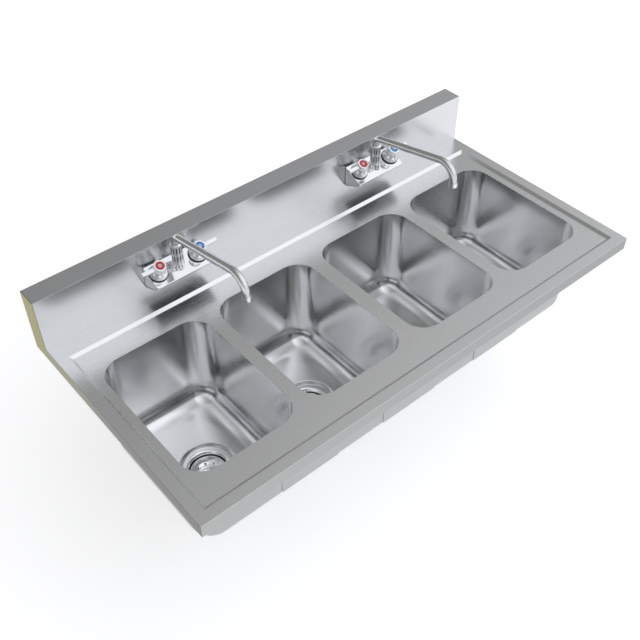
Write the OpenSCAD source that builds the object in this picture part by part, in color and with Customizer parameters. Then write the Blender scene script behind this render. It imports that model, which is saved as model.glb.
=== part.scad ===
// Four-bowl stainless steel sink top with a backsplash and two splash-mounted faucets.
// Millimetres, +Z up, +X along the top, +Y towards the wall.
// The origin is in the wall plane, half way along the top, level with the rim.

/* [Sink top] */
// Length of the top, end to end
top_len = 1219.2; // [1205:1:1400]
// Depth of the deck, from its front edge to the face of the backsplash
deck_d = 558.8; // [545:1:700]
// Thickness of the stainless sheet
sheet = 1.2; // [0.9:0.1:2]
// Height of the apron along the front and the ends
apron_h = 32; // [20:1:50]
// Width of the lip that is folded in under the apron
apron_lip = 14; // [6:1:18]
// Width of the flat rim at the front and at the ends
rim_w = 25.4; // [15:0.1:32]
// Width of the flat ledge between the recess and the backsplash
rear_flat = 50.8; // [30:0.1:75]
// Depth of the recessed floor below the rim
recess_drop = 6.35; // [4:0.05:8]
// Width of the slope round the recessed floor
recess_slope = 7; // [5:0.1:9]

/* [Backsplash] */
// Depth of the backsplash, from its face to the wall
splash_t = 50.8; // [48:0.1:70]
// Height of the backsplash above the rim
splash_h = 127; // [115:1:200]
// Height of the hem that turns down against the wall
splash_hem = 20; // [8:1:30]

/* [Bowls] */
// Width of a bowl's opening, along the top
bowl_w = 254; // [235:0.5:256]
// Length of a bowl's opening, front to back
bowl_l = 355.6; // [300:0.1:365]
// Radius of a bowl's upright corners
bowl_r = 50.8; // [46:0.1:60]
// Radius between a bowl's walls and its bottom
bowl_fillet = 43.3; // [30:0.1:45]
// Depth of a bowl's walls below the recessed floor
bowl_depth = 244; // [150:1:300]
// Fall of a bowl's bottom from its walls to the drain
bottom_fall = 10; // [5:0.5:12]
// Distance from the front edge of the deck to the bowls
bowl_front = 90.4; // [70:0.1:100]
// Strip of deck between the two bowls of a pair
pair_gap = 31.75; // [20:0.05:34]
// Strip of deck between the two pairs
mid_gap = 38.1; // [25:0.1:42]

/* [Drains] */
// Radius of the dished seat in a bowl's bottom, at its rim
seat_r = 60.7; // [60:0.1:64]
// Depth of the dished seat below the edge of the bowl's bottom
seat_drop = 14; // [12.5:0.5:18]
// Radius of the hole in the bowl
drain_hole_r = 46; // [46:0.1:48]
// Radius of the drain body's flange
flange_r = 57.1; // [54:0.1:57.3]
// Thickness of the flange
flange_t = 1.8; // [1.5:0.1:2.5]
// Outer radius of the drain body's threaded barrel
barrel_r = 45.2; // [44.8:0.1:45.6]
// Radius of the bore above the basket's ledge
drain_bore_r = 42.7; // [42.4:0.1:43.2]
// Depth from the flange's seat to the ledge that carries the basket
ledge_deep = 12.5; // [11.5:0.5:16]
// Length of the barrel below the seat
barrel_len = 34; // [32:1:50]
// Outer radius of the outlet neck
neck_r = 24; // [23.5:0.1:26]
// Length of the outlet neck
neck_len = 17.4; // [16:0.1:30]
// Outer radius of the tailpiece
tail_r = 19.05; // [16:0.05:19.4]
// Length of the tailpiece below the neck
tail_len = 95; // [50:1:150]
// Number of holes round the basket's floor
basket_holes = 10; // [6:1:12]
// Radius of the circle of holes
basket_pitch_r = 29.6; // [29:0.1:30.2]
// Radius of one hole
basket_hole_r = 1.6; // [0.8:0.1:1.8]
// Depth of the basket
basket_deep = 13; // [9:0.5:16]

/* [Faucet body] */
// Distance between the two handles
hub_c = 101.6; // [96:0.1:108]
// Angle by which the handles lean forward
tilt = 25; // [20:1:28]
// Distance of a handle's axis from the backsplash, where it meets the body
hub_v = 24.6; // [23:0.1:28]
// Height above the rim of the same point
hub_w = 70.7; // [68:0.1:74]
// Length of the body
body_len = 147.2; // [144:0.1:156]
// Distance from a handle's axis to the front edge of the body
body_front = 32; // [30:0.1:36]
// Thickness of the body's front edge
body_edge = 8; // [6:0.1:9]
// Radius of the body's front corners
body_corner_r = 9; // [4:0.5:12]
// Height of the body's lower edge on the backsplash
body_low = 28; // [22:0.5:31]
// Height of the water inlets
inlet_w = 54; // [52:0.5:57]
// Outer radius of an inlet shank
shank_r = 10.3; // [9.5:0.1:11]
// Length of a shank behind the backsplash's sheet
shank_out = 42; // [30:1:43]

/* [Handles] */
// Height of a handle, from the body to its top
handle_h = 36; // [35:0.5:40]
// Radius of the handle's skirt
skirt_r = 20; // [19.5:0.1:21]
// Radius of the handle's cap
cap_r = 13.6; // [13:0.1:14.5]
// Length of the lever from the handle's axis
lever_len = 43.8; // [30:0.1:60]
// Width of the lever
lever_w = 9; // [6:0.5:11]
// Thickness of the lever
lever_t = 6; // [4:0.5:6.5]
// Depth from the handle's top to the middle of the lever
lever_drop = 6.5; // [6:0.5:8]
// Radius of the coloured index button
index_r = 10.3; // [8.5:0.1:11.2]

/* [Spout] */
// Distance of the spout's swivel axis from the backsplash
riser_v = 27; // [25:0.1:29]
// Outer radius of the spout's tube
tube_r = 8.5; // [8:0.1:8.8]
// Wall of the tube
tube_wall = 1.2; // [0.8:0.1:1.4]
// Height at which the riser's and the run's axes meet
spout_turn_w = 147; // [145:0.5:190]
// Angle by which the run rises
spout_rise = 12.5; // [0:0.5:20]
// Length of the run between its two corners
spout_run = 251.5; // [140:0.5:270]
// Angle of the outlet below level
spout_down = 81.5; // [60:0.5:90]
// Length from the front corner to the end of the tube
spout_end = 53; // [52:0.5:80]
// Bend radius at the riser
riser_bend_r = 20; // [16:0.5:22]
// Bend radius at the outlet
outlet_bend_r = 35.4; // [20:0.1:36]
// Wall of the aerator round the tube
aerator_wall = 1.3; // [1:0.1:2.5]
// Length of the aerator
aerator_len = 10; // [9:0.5:14]
// Radius of the swivel nut
nut_r = 12.6; // [12.4:0.1:13.4]
// Height of the swivel nut's lower end above the rim
nut_low = 79; // [78.6:0.1:80]
// Height of the swivel nut
nut_h = 43; // [40:0.5:45]

/* [Hidden] */
$fn = 64;
run_gap = 0.06;   // a shaft that turns in its bore
free_gap = 0.3;   // pieces on different bodies that only pass each other
thread_gap = 0.1; // a thread drawn as two plain cylinders
over = 1;         // how far a cut runs past the face that it opens

// Sink top
half_len = top_len / 2;
front_y = -splash_t - deck_d;
floor_z = -recess_drop;
slope = recess_slope / recess_drop;
slope_wall = sheet * sqrt(1 + slope * slope);
recess_half = [half_len - rim_w, (deck_d - rim_w - rear_flat) / 2];
recess_y = front_y + rim_w + recess_half.y;

// Bowls
near_x = (mid_gap + bowl_w) / 2;
far_x = near_x + pair_gap + bowl_w;
bowl_x = [-far_x, -near_x, near_x, far_x];
bowl_y = front_y + bowl_front + bowl_l / 2;
bottom_z = floor_z - bowl_depth;
fall_inset = bowl_r - (bowl_r - bowl_fillet) * cos(45);
fall_half = [bowl_w / 2 - fall_inset, bowl_l / 2 - fall_inset];
seat_z = bottom_z - seat_drop;
seat_lean = 2.6; // how far the seat's wall leans in over its depth
web_h = 212.5;   // height of the strips that close the spaces between the bowls
web_lap = 10;    // how far a strip runs onto a bowl's flat front
web_y = front_y + bowl_front - sheet;

// Drains, with their heights from the seat
flange_bead = 0.8;
flange_dish = 0.7;
flange_roll = 4;
flange_roll_deep = 3;
ledge_in = 2.6;
cup_wall = 4;
taper_h = 14.6;
neck_z = -barrel_len - taper_h - neck_len;
gasket_t = 3;
locknut_h = 10;
locknut_z = -sheet - gasket_t - locknut_h;
locknut_wall = 8;
locknut_lugs = 8;
lug_w = 9;
lug_out = 3.2;
tail_wall = 1.2;
tail_flange_t = 1.5;
tail_flange_in = 0.5;
slip_up = 12;
slip_wall = 4.4;
slip_lip = 2.2;
tail_bead = 0.6;
tail_bead_show = 0.8; // how far the bead shows below the slip nut
tail_bead_h = tail_flange_t + slip_lip + tail_bead_show;
slip_ribs = 12;
slip_rib_r = 1.1;

// Baskets
seal_w = 1.9;
seal_h = 3.4;
seal_z = -ledge_deep + free_gap;
basket_t = 1;
basket_z = seal_z + seal_h;
basket_rim_r = drain_bore_r - free_gap - seal_w;
basket_rim_in = 2;
basket_mouth_r = basket_rim_r - basket_rim_in;
basket_floor_out = 3.4;
basket_floor_r = basket_pitch_r + basket_floor_out;
basket_floor_z = basket_z - basket_deep;
dome_in = 3.6;
dome_r = basket_pitch_r - dome_in;
dome_h = 7;
dome_steps = 8;
dome_curve_r = (dome_r * dome_r + dome_h * dome_h) / (2 * dome_h);

// Faucets, with v forward from the backsplash's face
faucet_x = [-(near_x + far_x) / 2, (near_x + far_x) / 2];
hand = [-1, 1]; // hot on the left, cold on the right
pad_t = 1;
pad_inset = 2;
body_wall_w = hub_w + hub_v * tan(tilt);
body_edge_v = hub_v + body_front * cos(tilt);
body_edge_w = hub_w - body_front * sin(tilt);
lower_edge_v = body_edge_v - body_edge * sin(tilt);
lower_edge_w = body_edge_w - body_edge * cos(tilt);
cartridge_r = 9.6;
cartridge_deep = 17;
water_deep = 10;
water_r = 4;
inlet_bore_r = 5.5;
inlet_bore_len = 18;
shank_step = 0.6; // how much the clamped stretch of a shank is wider than its free end
shank_in = 7;
shank_bore_r = 6.5;
shank_root_r = shank_r + shank_step;
shank_hole_gap = 0.8;
shank_nut_r = 16.5;
shank_nut_h = 7;
shank_root_show = 1; // how far the wide stretch shows behind its nut

// Handles, with heights from the body along the leaning axis
bonnet_r = 13.5;
bonnet_h = 9;
hex_sides = 6;
bonnet_neck_r = 7;
bonnet_neck_h = 4;
stem_r = 4;
stem_top = 25;
stem_low = -12;
stem_foot_r = 6;
stem_foot_h = 2;
stem_flat = 0.8;
stem_flat_len = 10;
index_deep = 2.4;
index_crown = 0.6;
index_play = 0.1;
screw_r = 1.9;
screw_len = 13;
screw_head_r = 3.8;
screw_head_h = 2.4;
screw_slot_w = 1;
screw_slot_deep = 1.2;
screw_seat = handle_h - index_deep - screw_head_h;
ring_t = 1.2;
ring_w = 2.4;
ring_out = 0.8;
skirt_z = ring_t + free_gap;
skirt_band = 3.5;
skirt_corner = 0.8;
skirt_room_r = 15.5;
skirt_room_top = bonnet_h + bonnet_neck_h + free_gap;
shoulder_r = 14.6;
shoulder_down = 11;
cap_rim = 1.2;
flutes = 8;
flute_r = 3.2;
flute_pitch_r = 16.6;
flute_floor = 0.7;
flute_low = skirt_room_top + flute_floor;
flute_top = handle_h - shoulder_down + ring_w;
lever_corner = 2.4;

// Spouts
boss_r = 14;
boss_sink = 20;
boss_thread_r = 10.2;
boss_thread_h = 19;
boss_top = nut_low + boss_thread_h;
boss_bore_r = 5.8;
journal_len = 14;
journal_z = boss_top - journal_len;
collar_in = 0.3;
collar_r = boss_thread_r - collar_in;
collar_h = 5;
collar_z = boss_top + free_gap;
oring_r = 0.85;
oring_land = 1;
oring_low = 5;
oring_z = journal_z + oring_low;
nut_cone_h = 4;
nut_cone_in = 3;
nut_slots = 12;
nut_slot_r = 1.1;
nut_slot_h = 12;
nut_slot_low = 8;
nut_band_gap = 8;
lap = 0.5;         // how far a straight stretch runs into its bend
bend_swell = 0.05; // how much the bends stand proud of the straight stretches
aerator_thread = 6;
screen_t = 1.2;
screen_bar = 0.9;
screen_up = 1;

function numbered(name, count) = [for (i = [1:count]) str(name, "_", i)];

// Steel sheet and solid blocks

// A block between two corners
module block(low, high) {
    translate(low) cube(high - low);
}

// A ring round the Z axis, from height low to height high
module ring(r_in, r_out, low, high) {
    rotate_extrude() translate([r_in, low]) square([r_out - r_in, high - low]);
}

module slope_profile(half, low, high) {
    polygon([
        [-half - slope * low, low], [half + slope * low, low],
        [half + slope * high, high], [-half - slope * high, high]
    ]);
}

// The recess has four sloping sides that meet in mitres, so it is two crossing prisms
module recess(grow, low, high) {
    translate([0, recess_y, 0]) intersection() {
        rotate([90, 0, 0]) linear_extrude(deck_d, center = true)
            slope_profile(recess_half.x + grow, low, high);
        rotate([90, 0, 90]) linear_extrude(top_len, center = true)
            slope_profile(recess_half.y + grow, low, high);
    }
}

module bowl_opening() {
    square([bowl_w, bowl_l - 2 * bowl_r], center = true);
    square([bowl_w - 2 * bowl_r, bowl_l], center = true);
    for (sx = [-1, 1], sy = [-1, 1])
        translate([sx * (bowl_w / 2 - bowl_r), sy * (bowl_l / 2 - bowl_r)]) circle(bowl_r);
}

module deck_top() color("silver") difference() {
    union() {
        block([-half_len, front_y, -sheet], [half_len, -splash_t, 0]);
        recess(slope_wall, floor_z - sheet, -sheet / 2);
        block([-half_len, front_y, -apron_h], [half_len, front_y + sheet, 0]);
        block([-half_len, front_y, -apron_h], [half_len, front_y + apron_lip, -apron_h + sheet]);
        for (side = [0, 1]) mirror([side, 0, 0]) {
            block([half_len - sheet, front_y, -apron_h], [half_len, -splash_t, 0]);
            block([half_len - apron_lip, front_y, -apron_h], [half_len, -splash_t, -apron_h + sheet]);
        }
    }
    recess(0, floor_z, over);
    for (x = bowl_x) translate([x, bowl_y, floor_z - sheet - over])
        linear_extrude(sheet + 2 * over) bowl_opening();
}

module backsplash() color("gainsboro") difference() {
    union() {
        block([-half_len + sheet, -splash_t, -sheet], [half_len - sheet, -splash_t + sheet, splash_h]);
        block([-half_len + sheet, -splash_t, splash_h - sheet], [half_len - sheet, 0, splash_h]);
        block([-half_len + sheet, -sheet, splash_h - splash_hem], [half_len - sheet, 0, splash_h]);
    }
    for (x = faucet_x, side = hand)
        translate([x + side * hub_c / 2, -splash_t + sheet + over, inlet_w])
            rotate([90, 0, 0]) cylinder(h = sheet + 2 * over, r = shank_root_r + shank_hole_gap);
}

module end_cap() {
    block([half_len - sheet, -splash_t, -apron_h], [half_len, 0, splash_h]);
}

module left_end_cap() color("darkkhaki") mirror([1, 0, 0]) end_cap();

module right_end_cap() color("silver") end_cap();

// Bowls

// A flat-sided section with two round lower corners
module bowl_profile(half, r, low, high) {
    translate([-half, low + r]) square([2 * half, high - low - r]);
    translate([-half + r, low]) square([2 * (half - r), high - low]);
    for (s = [-1, 1]) translate([s * (half - r), low + r]) circle(r);
}

// The bowl's inside, grown by the sheet for its outside
module bowl_form(grow, high) {
    half = [bowl_w / 2 + grow, bowl_l / 2 + grow];
    corner = bowl_r + grow;
    fillet = bowl_fillet + grow;
    low = bottom_z - grow;
    rotate([90, 0, 0]) linear_extrude(2 * (half.y - corner), center = true)
        bowl_profile(half.x, fillet, low, high);
    rotate([90, 0, 90]) linear_extrude(2 * (half.x - corner), center = true)
        bowl_profile(half.y, fillet, low, high);
    for (sx = [-1, 1], sy = [-1, 1]) translate([sx * (half.x - corner), sy * (half.y - corner), 0])
        rotate_extrude() intersection() {
            bowl_profile(corner, fillet, low, high);
            translate([0, low]) square([corner, high - low]);
        }
}

module fall_profile(half) {
    polygon([[-half, 0], [0, -bottom_fall], [half, 0], [half, over], [-half, over]]);
}

// The bottom falls to the drain in four planes with creases between them
module bowl_fall() {
    intersection() {
        rotate([90, 0, 0]) linear_extrude(2 * fall_half.y, center = true) fall_profile(fall_half.x);
        rotate([90, 0, 90]) linear_extrude(2 * fall_half.x, center = true) fall_profile(fall_half.y);
    }
}

module bowl(i) color("silver") translate([bowl_x[i], bowl_y, 0]) difference() {
    union() {
        bowl_form(sheet, floor_z - sheet);
        translate([0, 0, bottom_z - sheet]) bowl_fall();
        translate([0, 0, seat_z - sheet])
            cylinder(h = seat_drop + sheet, r1 = seat_r - seat_lean + sheet, r2 = seat_r + sheet);
    }
    bowl_form(0, floor_z + over);
    translate([0, 0, bottom_z]) bowl_fall();
    translate([0, 0, seat_z]) cylinder(h = seat_drop, r1 = seat_r - seat_lean, r2 = seat_r);
    translate([0, 0, seat_z - sheet - over]) cylinder(h = sheet + 2 * over, r = drain_hole_r);
}

// Strips behind the apron that close the spaces between neighbouring bowls
module bowl_webs() color("silver") for (k = [0:2])
    block([bowl_x[k] + bowl_w / 2 - bowl_r - web_lap, web_y - sheet, floor_z - sheet - web_h],
          [bowl_x[k + 1] - bowl_w / 2 + bowl_r + web_lap, web_y, floor_z - sheet]);

// Drains

module at_drain(i) {
    translate([bowl_x[i], bowl_y, seat_z]) children();
}

module drain_body(i) color("lightgrey") at_drain(i) rotate_extrude() polygon([
    [barrel_r, 0], [flange_r, 0], [flange_r, flange_t - flange_bead], [flange_r - flange_bead, flange_t],
    [drain_bore_r + flange_roll, flange_t - flange_dish], [drain_bore_r, -flange_roll_deep],
    [drain_bore_r, -ledge_deep], [drain_bore_r - ledge_in, -ledge_deep],
    [drain_bore_r - ledge_in, -barrel_len + cup_wall],
    [neck_r - cup_wall, -barrel_len - taper_h + cup_wall], [neck_r - cup_wall, neck_z],
    [neck_r, neck_z], [neck_r, -barrel_len - taper_h], [barrel_r, -barrel_len]
]);

module drain_gaskets() color("#222222") for (i = [0:3]) at_drain(i)
    ring(drain_hole_r, flange_r, -sheet - gasket_t, -sheet);

module drain_locknuts() color("grey") for (i = [0:3]) at_drain(i) translate([0, 0, locknut_z]) {
    ring(barrel_r + thread_gap, barrel_r + locknut_wall, 0, locknut_h);
    for (k = [0:locknut_lugs - 1]) rotate([0, 0, 360 * k / locknut_lugs])
        block([barrel_r + locknut_wall / 2, -lug_w / 2, 0],
              [barrel_r + locknut_wall + lug_out, lug_w / 2, locknut_h]);
}

module tailpieces() color("lightgrey") for (i = [0:3]) at_drain(i) translate([0, 0, neck_z]) {
    ring(tail_r - tail_wall, tail_r, -tail_len, 0);
    ring(tail_r - tail_wall, tail_r + tail_bead, -tail_bead_h, 0);
    ring(tail_r - tail_wall, neck_r - tail_flange_in, -tail_flange_t, 0);
}

module slip_nuts() color("grey") for (i = [0:3]) at_drain(i) translate([0, 0, neck_z - tail_flange_t]) {
    wide = neck_r + thread_gap + slip_wall;
    ring(neck_r + thread_gap, wide, 0, tail_flange_t + slip_up);
    ring(tail_r + tail_bead + thread_gap, wide, -slip_lip, 0);
    for (k = [0:slip_ribs - 1]) rotate([0, 0, 360 * k / slip_ribs])
        translate([wide, 0, -slip_lip]) cylinder(h = slip_lip + tail_flange_t + slip_up, r = slip_rib_r);
}

function dome_arc(drop) = [
    for (k = [0:dome_steps])
        let (a = asin(dome_r / dome_curve_r) * (1 - k / dome_steps))
        [dome_curve_r * sin(a), basket_floor_z + dome_h - drop - dome_curve_r * (1 - cos(a))]
];

function reversed(list) = [for (k = [len(list) - 1:-1:0]) list[k]];

module basket(i) color("silver") at_drain(i) difference() {
    rotate_extrude() polygon(concat(
        [[basket_rim_r, seal_z], [basket_rim_r, basket_z], [basket_mouth_r, basket_z],
         [basket_floor_r, basket_floor_z]],
        dome_arc(0),
        reversed(dome_arc(basket_t)),
        [[basket_floor_r + basket_t, basket_floor_z - basket_t],
         [basket_mouth_r + basket_t, basket_z - basket_t],
         [basket_rim_r - basket_t, basket_z - basket_t], [basket_rim_r - basket_t, seal_z]]
    ));
    for (k = [0:basket_holes - 1]) rotate([0, 0, 360 * k / basket_holes])
        translate([basket_pitch_r, 0, basket_floor_z - basket_t - over])
            cylinder(h = basket_t + 2 * over, r = basket_hole_r);
}

module basket_seal(i) color("#181818") at_drain(i)
    ring(basket_rim_r + run_gap, basket_rim_r + seal_w, seal_z, basket_z);

// Faucets

// Moves a piece to a faucet, with its origin on the backsplash's face
module at_faucet(f) {
    translate([faucet_x[f], -splash_t, 0]) children();
}

// Moves a piece to a handle, with its Z axis along the leaning axis
module at_hub(f, side) {
    at_faucet(f) translate([side * hub_c / 2, -hub_v, hub_w]) rotate([tilt, 0, 0]) children();
}

// The wedge seen from its end: a sloping top, a thin front edge and a slanting underside
module body_profile() {
    polygon([
        [-pad_t, body_low], [-pad_t, body_wall_w - pad_t * tan(tilt)], [-body_edge_v, body_edge_w],
        [-lower_edge_v, lower_edge_w]
    ]);
}

// The body seen along the handles' axes, with round front corners
module body_plan() {
    half = body_len / 2;
    translate([-half, -body_front + body_corner_r]) square([body_len, 2 * body_wall_w]);
    translate([-half + body_corner_r, -body_front]) square([body_len - 2 * body_corner_r, body_wall_w]);
    for (s = [-1, 1]) translate([s * (half - body_corner_r), -body_front + body_corner_r])
        circle(body_corner_r);
}

module faucet_body(f) color("gainsboro") at_faucet(f) difference() {
    union() {
        intersection() {
            rotate([90, 0, 90]) linear_extrude(body_len, center = true) body_profile();
            translate([0, -hub_v, hub_w]) rotate([tilt, 0, 0])
                linear_extrude(2 * body_wall_w, center = true) body_plan();
        }
        translate([0, -riser_v, nut_low - boss_sink]) cylinder(h = boss_sink, r = boss_r);
        translate([0, -riser_v, nut_low - boss_sink])
            cylinder(h = boss_sink + boss_thread_h, r = boss_thread_r);
    }
    for (side = hand) {
        translate([side * hub_c / 2, -hub_v, hub_w]) rotate([tilt, 0, 0]) translate([0, 0, -cartridge_deep])
            cylinder(h = cartridge_deep + over, r = cartridge_r + thread_gap);
        translate([side * hub_c / 2, 0, inlet_w]) rotate([90, 0, 0]) {
            cylinder(h = pad_t + shank_in, r = shank_root_r + thread_gap);
            cylinder(h = inlet_bore_len, r = inlet_bore_r);
        }
    }
    translate([0, -hub_v, hub_w]) rotate([tilt, 0, 0]) translate([0, 0, -water_deep])
        rotate([0, 90, 0]) cylinder(h = hub_c, r = water_r, center = true);
    translate([0, -riser_v, journal_z]) cylinder(h = journal_len + over, r = tube_r + run_gap);
    translate([0, -riser_v, hub_w - water_deep])
        cylinder(h = boss_top - hub_w + water_deep, r = boss_bore_r);
}

module cartridge(f, side) color("goldenrod") at_hub(f, side) difference() {
    union() {
        translate([0, 0, -cartridge_deep]) cylinder(h = cartridge_deep, r = cartridge_r);
        cylinder(h = bonnet_h, r = bonnet_r, $fn = hex_sides);
        cylinder(h = bonnet_h + bonnet_neck_h, r = bonnet_neck_r);
    }
    translate([0, 0, -cartridge_deep - over])
        cylinder(h = cartridge_deep + bonnet_h + bonnet_neck_h + 2 * over, r = stem_r + run_gap);
    translate([0, 0, -cartridge_deep - over])
        cylinder(h = cartridge_deep + over + stem_low + stem_foot_h + run_gap, r = stem_foot_r + run_gap);
}

// The flat that the handle's socket turns the stem by
module stem_section(grow) {
    difference() {
        circle(stem_r + grow);
        translate([-stem_r, stem_r - stem_flat + grow]) square(2 * stem_r);
    }
}

module stem(f, side) color("peru") at_hub(f, side) difference() {
    union() {
        translate([0, 0, stem_low]) cylinder(h = stem_foot_h, r = stem_foot_r);
        translate([0, 0, stem_low]) cylinder(h = stem_top - stem_low - stem_flat_len, r = stem_r);
        translate([0, 0, stem_top - stem_flat_len]) linear_extrude(stem_flat_len) stem_section(0);
    }
    translate([0, 0, stem_top - screw_len]) cylinder(h = screw_len + over, r = screw_r + thread_gap);
}

module handle_screw(f, side) color("grey") at_hub(f, side) translate([0, 0, screw_seat]) difference() {
    union() {
        cylinder(h = screw_head_h, r = screw_head_r);
        translate([0, 0, -screw_len]) cylinder(h = screw_len, r = screw_r);
    }
    block([-screw_head_r, -screw_slot_w / 2, screw_head_h - screw_slot_deep],
          [screw_head_r, screw_slot_w / 2, screw_head_h + over]);
}

module lever_plan() {
    translate([-lever_len + lever_corner, -lever_w / 2]) square([lever_len - lever_corner, lever_w]);
    translate([-lever_len, -lever_w / 2 + lever_corner]) square([lever_corner, lever_w - 2 * lever_corner]);
    for (s = [-1, 1]) translate([-lever_len + lever_corner, s * (lever_w / 2 - lever_corner)])
        circle(lever_corner);
}

// A bell with flutes under its cap, and a lever that points away from the spout
module handle(f, side) color("whitesmoke") at_hub(f, side) difference() {
    union() {
        difference() {
            rotate_extrude() polygon([
                [0, skirt_z], [skirt_r - skirt_corner, skirt_z], [skirt_r, skirt_z + skirt_corner],
                [skirt_r, skirt_z + skirt_band], [shoulder_r, handle_h - shoulder_down],
                [cap_r - cap_rim, handle_h - shoulder_down + ring_w], [0, handle_h - shoulder_down + ring_w]
            ]);
            for (k = [0:flutes - 1]) rotate([0, 0, 360 * (k + 0.5) / flutes])
                translate([flute_pitch_r, 0, flute_low])
                    cylinder(h = flute_top - flute_low + over, r = flute_r);
        }
        translate([0, 0, handle_h - shoulder_down])
            cylinder(h = shoulder_down - cap_rim, r = cap_r - cap_rim);
        translate([0, 0, handle_h - lever_drop + lever_t / 2])
            cylinder(h = lever_drop - lever_t / 2, r = cap_r);
        rotate([0, 0, side > 0 ? 180 : 0]) translate([0, 0, handle_h - lever_drop - lever_t / 2])
            linear_extrude(lever_t) lever_plan();
    }
    translate([0, 0, skirt_z - over]) cylinder(h = skirt_room_top - skirt_z + over, r = skirt_room_r);
    translate([0, 0, skirt_room_top - over])
        cylinder(h = stem_top - stem_flat_len - skirt_room_top + over, r = stem_r + run_gap);
    translate([0, 0, stem_top - stem_flat_len])
        linear_extrude(stem_flat_len + free_gap) stem_section(run_gap);
    cylinder(h = handle_h, r = screw_r + thread_gap);
    translate([0, 0, screw_seat]) cylinder(h = handle_h - screw_seat, r = screw_head_r + thread_gap);
    translate([0, 0, handle_h - index_deep]) cylinder(h = index_deep + over, r = index_r + index_play);
}

module index_button(f, side) color(side < 0 ? "#c8323c" : "#4f8fd0") at_hub(f, side)
    rotate_extrude() polygon([
        [0, handle_h - index_deep], [index_r, handle_h - index_deep], [index_r, handle_h - index_crown],
        [index_r - index_crown, handle_h], [0, handle_h]
    ]);

module handle_rings(f) color("#101010") for (side = hand) at_hub(f, side)
    ring(skirt_r + ring_out - ring_w, skirt_r + ring_out, 0, ring_t);

// Spouts

// A bend that starts at the origin going up and turns forward
module bend(r, bend_r, angle) {
    translate([0, -bend_r, 0]) rotate([90, 0, 90])
        rotate_extrude(angle = angle) translate([bend_r, 0]) circle(r + bend_swell);
}

// The spout's whole centre line, filled with a radius, from height low
module spout_path(r, low, extra) {
    turn_1 = 90 - spout_rise;
    turn_2 = spout_rise + spout_down;
    cut_1 = riser_bend_r * tan(turn_1 / 2);
    cut_2 = outlet_bend_r * tan(turn_2 / 2);
    translate([0, 0, low]) cylinder(h = spout_turn_w - cut_1 - low + lap, r = r);
    translate([0, 0, spout_turn_w - cut_1]) bend(r, riser_bend_r, turn_1);
    translate([0, 0, spout_turn_w]) rotate([turn_1, 0, 0]) {
        translate([0, 0, cut_1 - lap]) cylinder(h = spout_run - cut_1 - cut_2 + 2 * lap, r = r);
        translate([0, 0, spout_run - cut_2]) bend(r, outlet_bend_r, turn_2);
        translate([0, 0, spout_run]) rotate([turn_2, 0, 0])
            translate([0, 0, cut_2 - lap]) cylinder(h = spout_end - cut_2 + lap + extra, r = r);
    }
}

module at_outlet() {
    translate([0, 0, spout_turn_w]) rotate([90 - spout_rise, 0, 0]) translate([0, 0, spout_run])
        rotate([spout_rise + spout_down, 0, 0]) translate([0, 0, spout_end]) children();
}

module spout(f) color("lightgrey") at_faucet(f) translate([0, -riser_v, 0]) difference() {
    union() {
        spout_path(tube_r, journal_z, 0);
        translate([0, 0, collar_z]) cylinder(h = collar_h, r = collar_r);
    }
    spout_path(tube_r - tube_wall, collar_z + collar_h, over);
    translate([0, 0, journal_z - over])
        cylinder(h = collar_z + collar_h - journal_z + 2 * over, r = boss_bore_r);
    ring(tube_r - 2 * oring_r - run_gap, tube_r + over, oring_z - oring_land, oring_z + oring_land);
}

module spout_ring(f) color("#202020") at_faucet(f) translate([0, -riser_v, oring_z])
    rotate_extrude() translate([tube_r - oring_r, 0]) circle(oring_r);

module spout_nut(f) color("silver") at_faucet(f) translate([0, -riser_v, nut_low]) difference() {
    room = collar_z + collar_h + free_gap - nut_low;
    rotate_extrude() polygon([
        [boss_thread_r + thread_gap, 0], [nut_r, 0], [nut_r, nut_h - nut_cone_h],
        [nut_r - nut_cone_in, nut_h], [tube_r + free_gap, nut_h], [tube_r + free_gap, room],
        [boss_thread_r + thread_gap, room]
    ]);
    for (band = [0, 1], k = [0:nut_slots - 1]) rotate([0, 0, 360 * k / nut_slots])
        translate([nut_r, 0, nut_slot_low + band * (nut_slot_h + nut_band_gap)])
            cylinder(h = nut_slot_h, r = nut_slot_r);
}

module aerator(f) color("white") at_faucet(f) translate([0, -riser_v, 0]) at_outlet() {
    low = aerator_len - aerator_thread;
    bore = tube_r - tube_wall;
    difference() {
        ring(bore, tube_r + aerator_wall, -aerator_thread, low);
        translate([0, 0, -aerator_thread - over])
            cylinder(h = aerator_thread + over, r = tube_r + thread_gap);
    }
    for (a = [0, 90]) rotate([0, 0, a])
        block([-bore - screen_bar, -screen_bar / 2, low - screen_up - screen_t],
              [bore + screen_bar, screen_bar / 2, low - screen_up]);
}

// Wall side of the faucets

module at_inlets() {
    for (f = [0, 1], side = hand) at_faucet(f) translate([side * hub_c / 2, 0, inlet_w])
        rotate([90, 0, 0]) children();
}

module wall_pads() color("#303030") for (f = [0, 1]) at_faucet(f) difference() {
    block([-body_len / 2 + pad_inset, -pad_t, body_low + pad_inset],
          [body_len / 2 - pad_inset, 0, body_wall_w - pad_inset]);
    for (side = hand) translate([side * hub_c / 2, over, inlet_w]) rotate([90, 0, 0])
        cylinder(h = pad_t + 2 * over, r = shank_root_r + shank_hole_gap);
}

module inlet_shanks() color("darkgoldenrod") at_inlets() {
    ring(shank_bore_r, shank_r, -sheet - shank_out, pad_t + shank_in);
    ring(shank_bore_r, shank_root_r, -sheet - shank_nut_h - shank_root_show, pad_t + shank_in);
}

module shank_nuts() color("goldenrod") at_inlets() translate([0, 0, -sheet - shank_nut_h]) difference() {
    cylinder(h = shank_nut_h, r = shank_nut_r, $fn = hex_sides);
    translate([0, 0, -over]) cylinder(h = shank_nut_h + 2 * over, r = shank_root_r + thread_gap);
}

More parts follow.
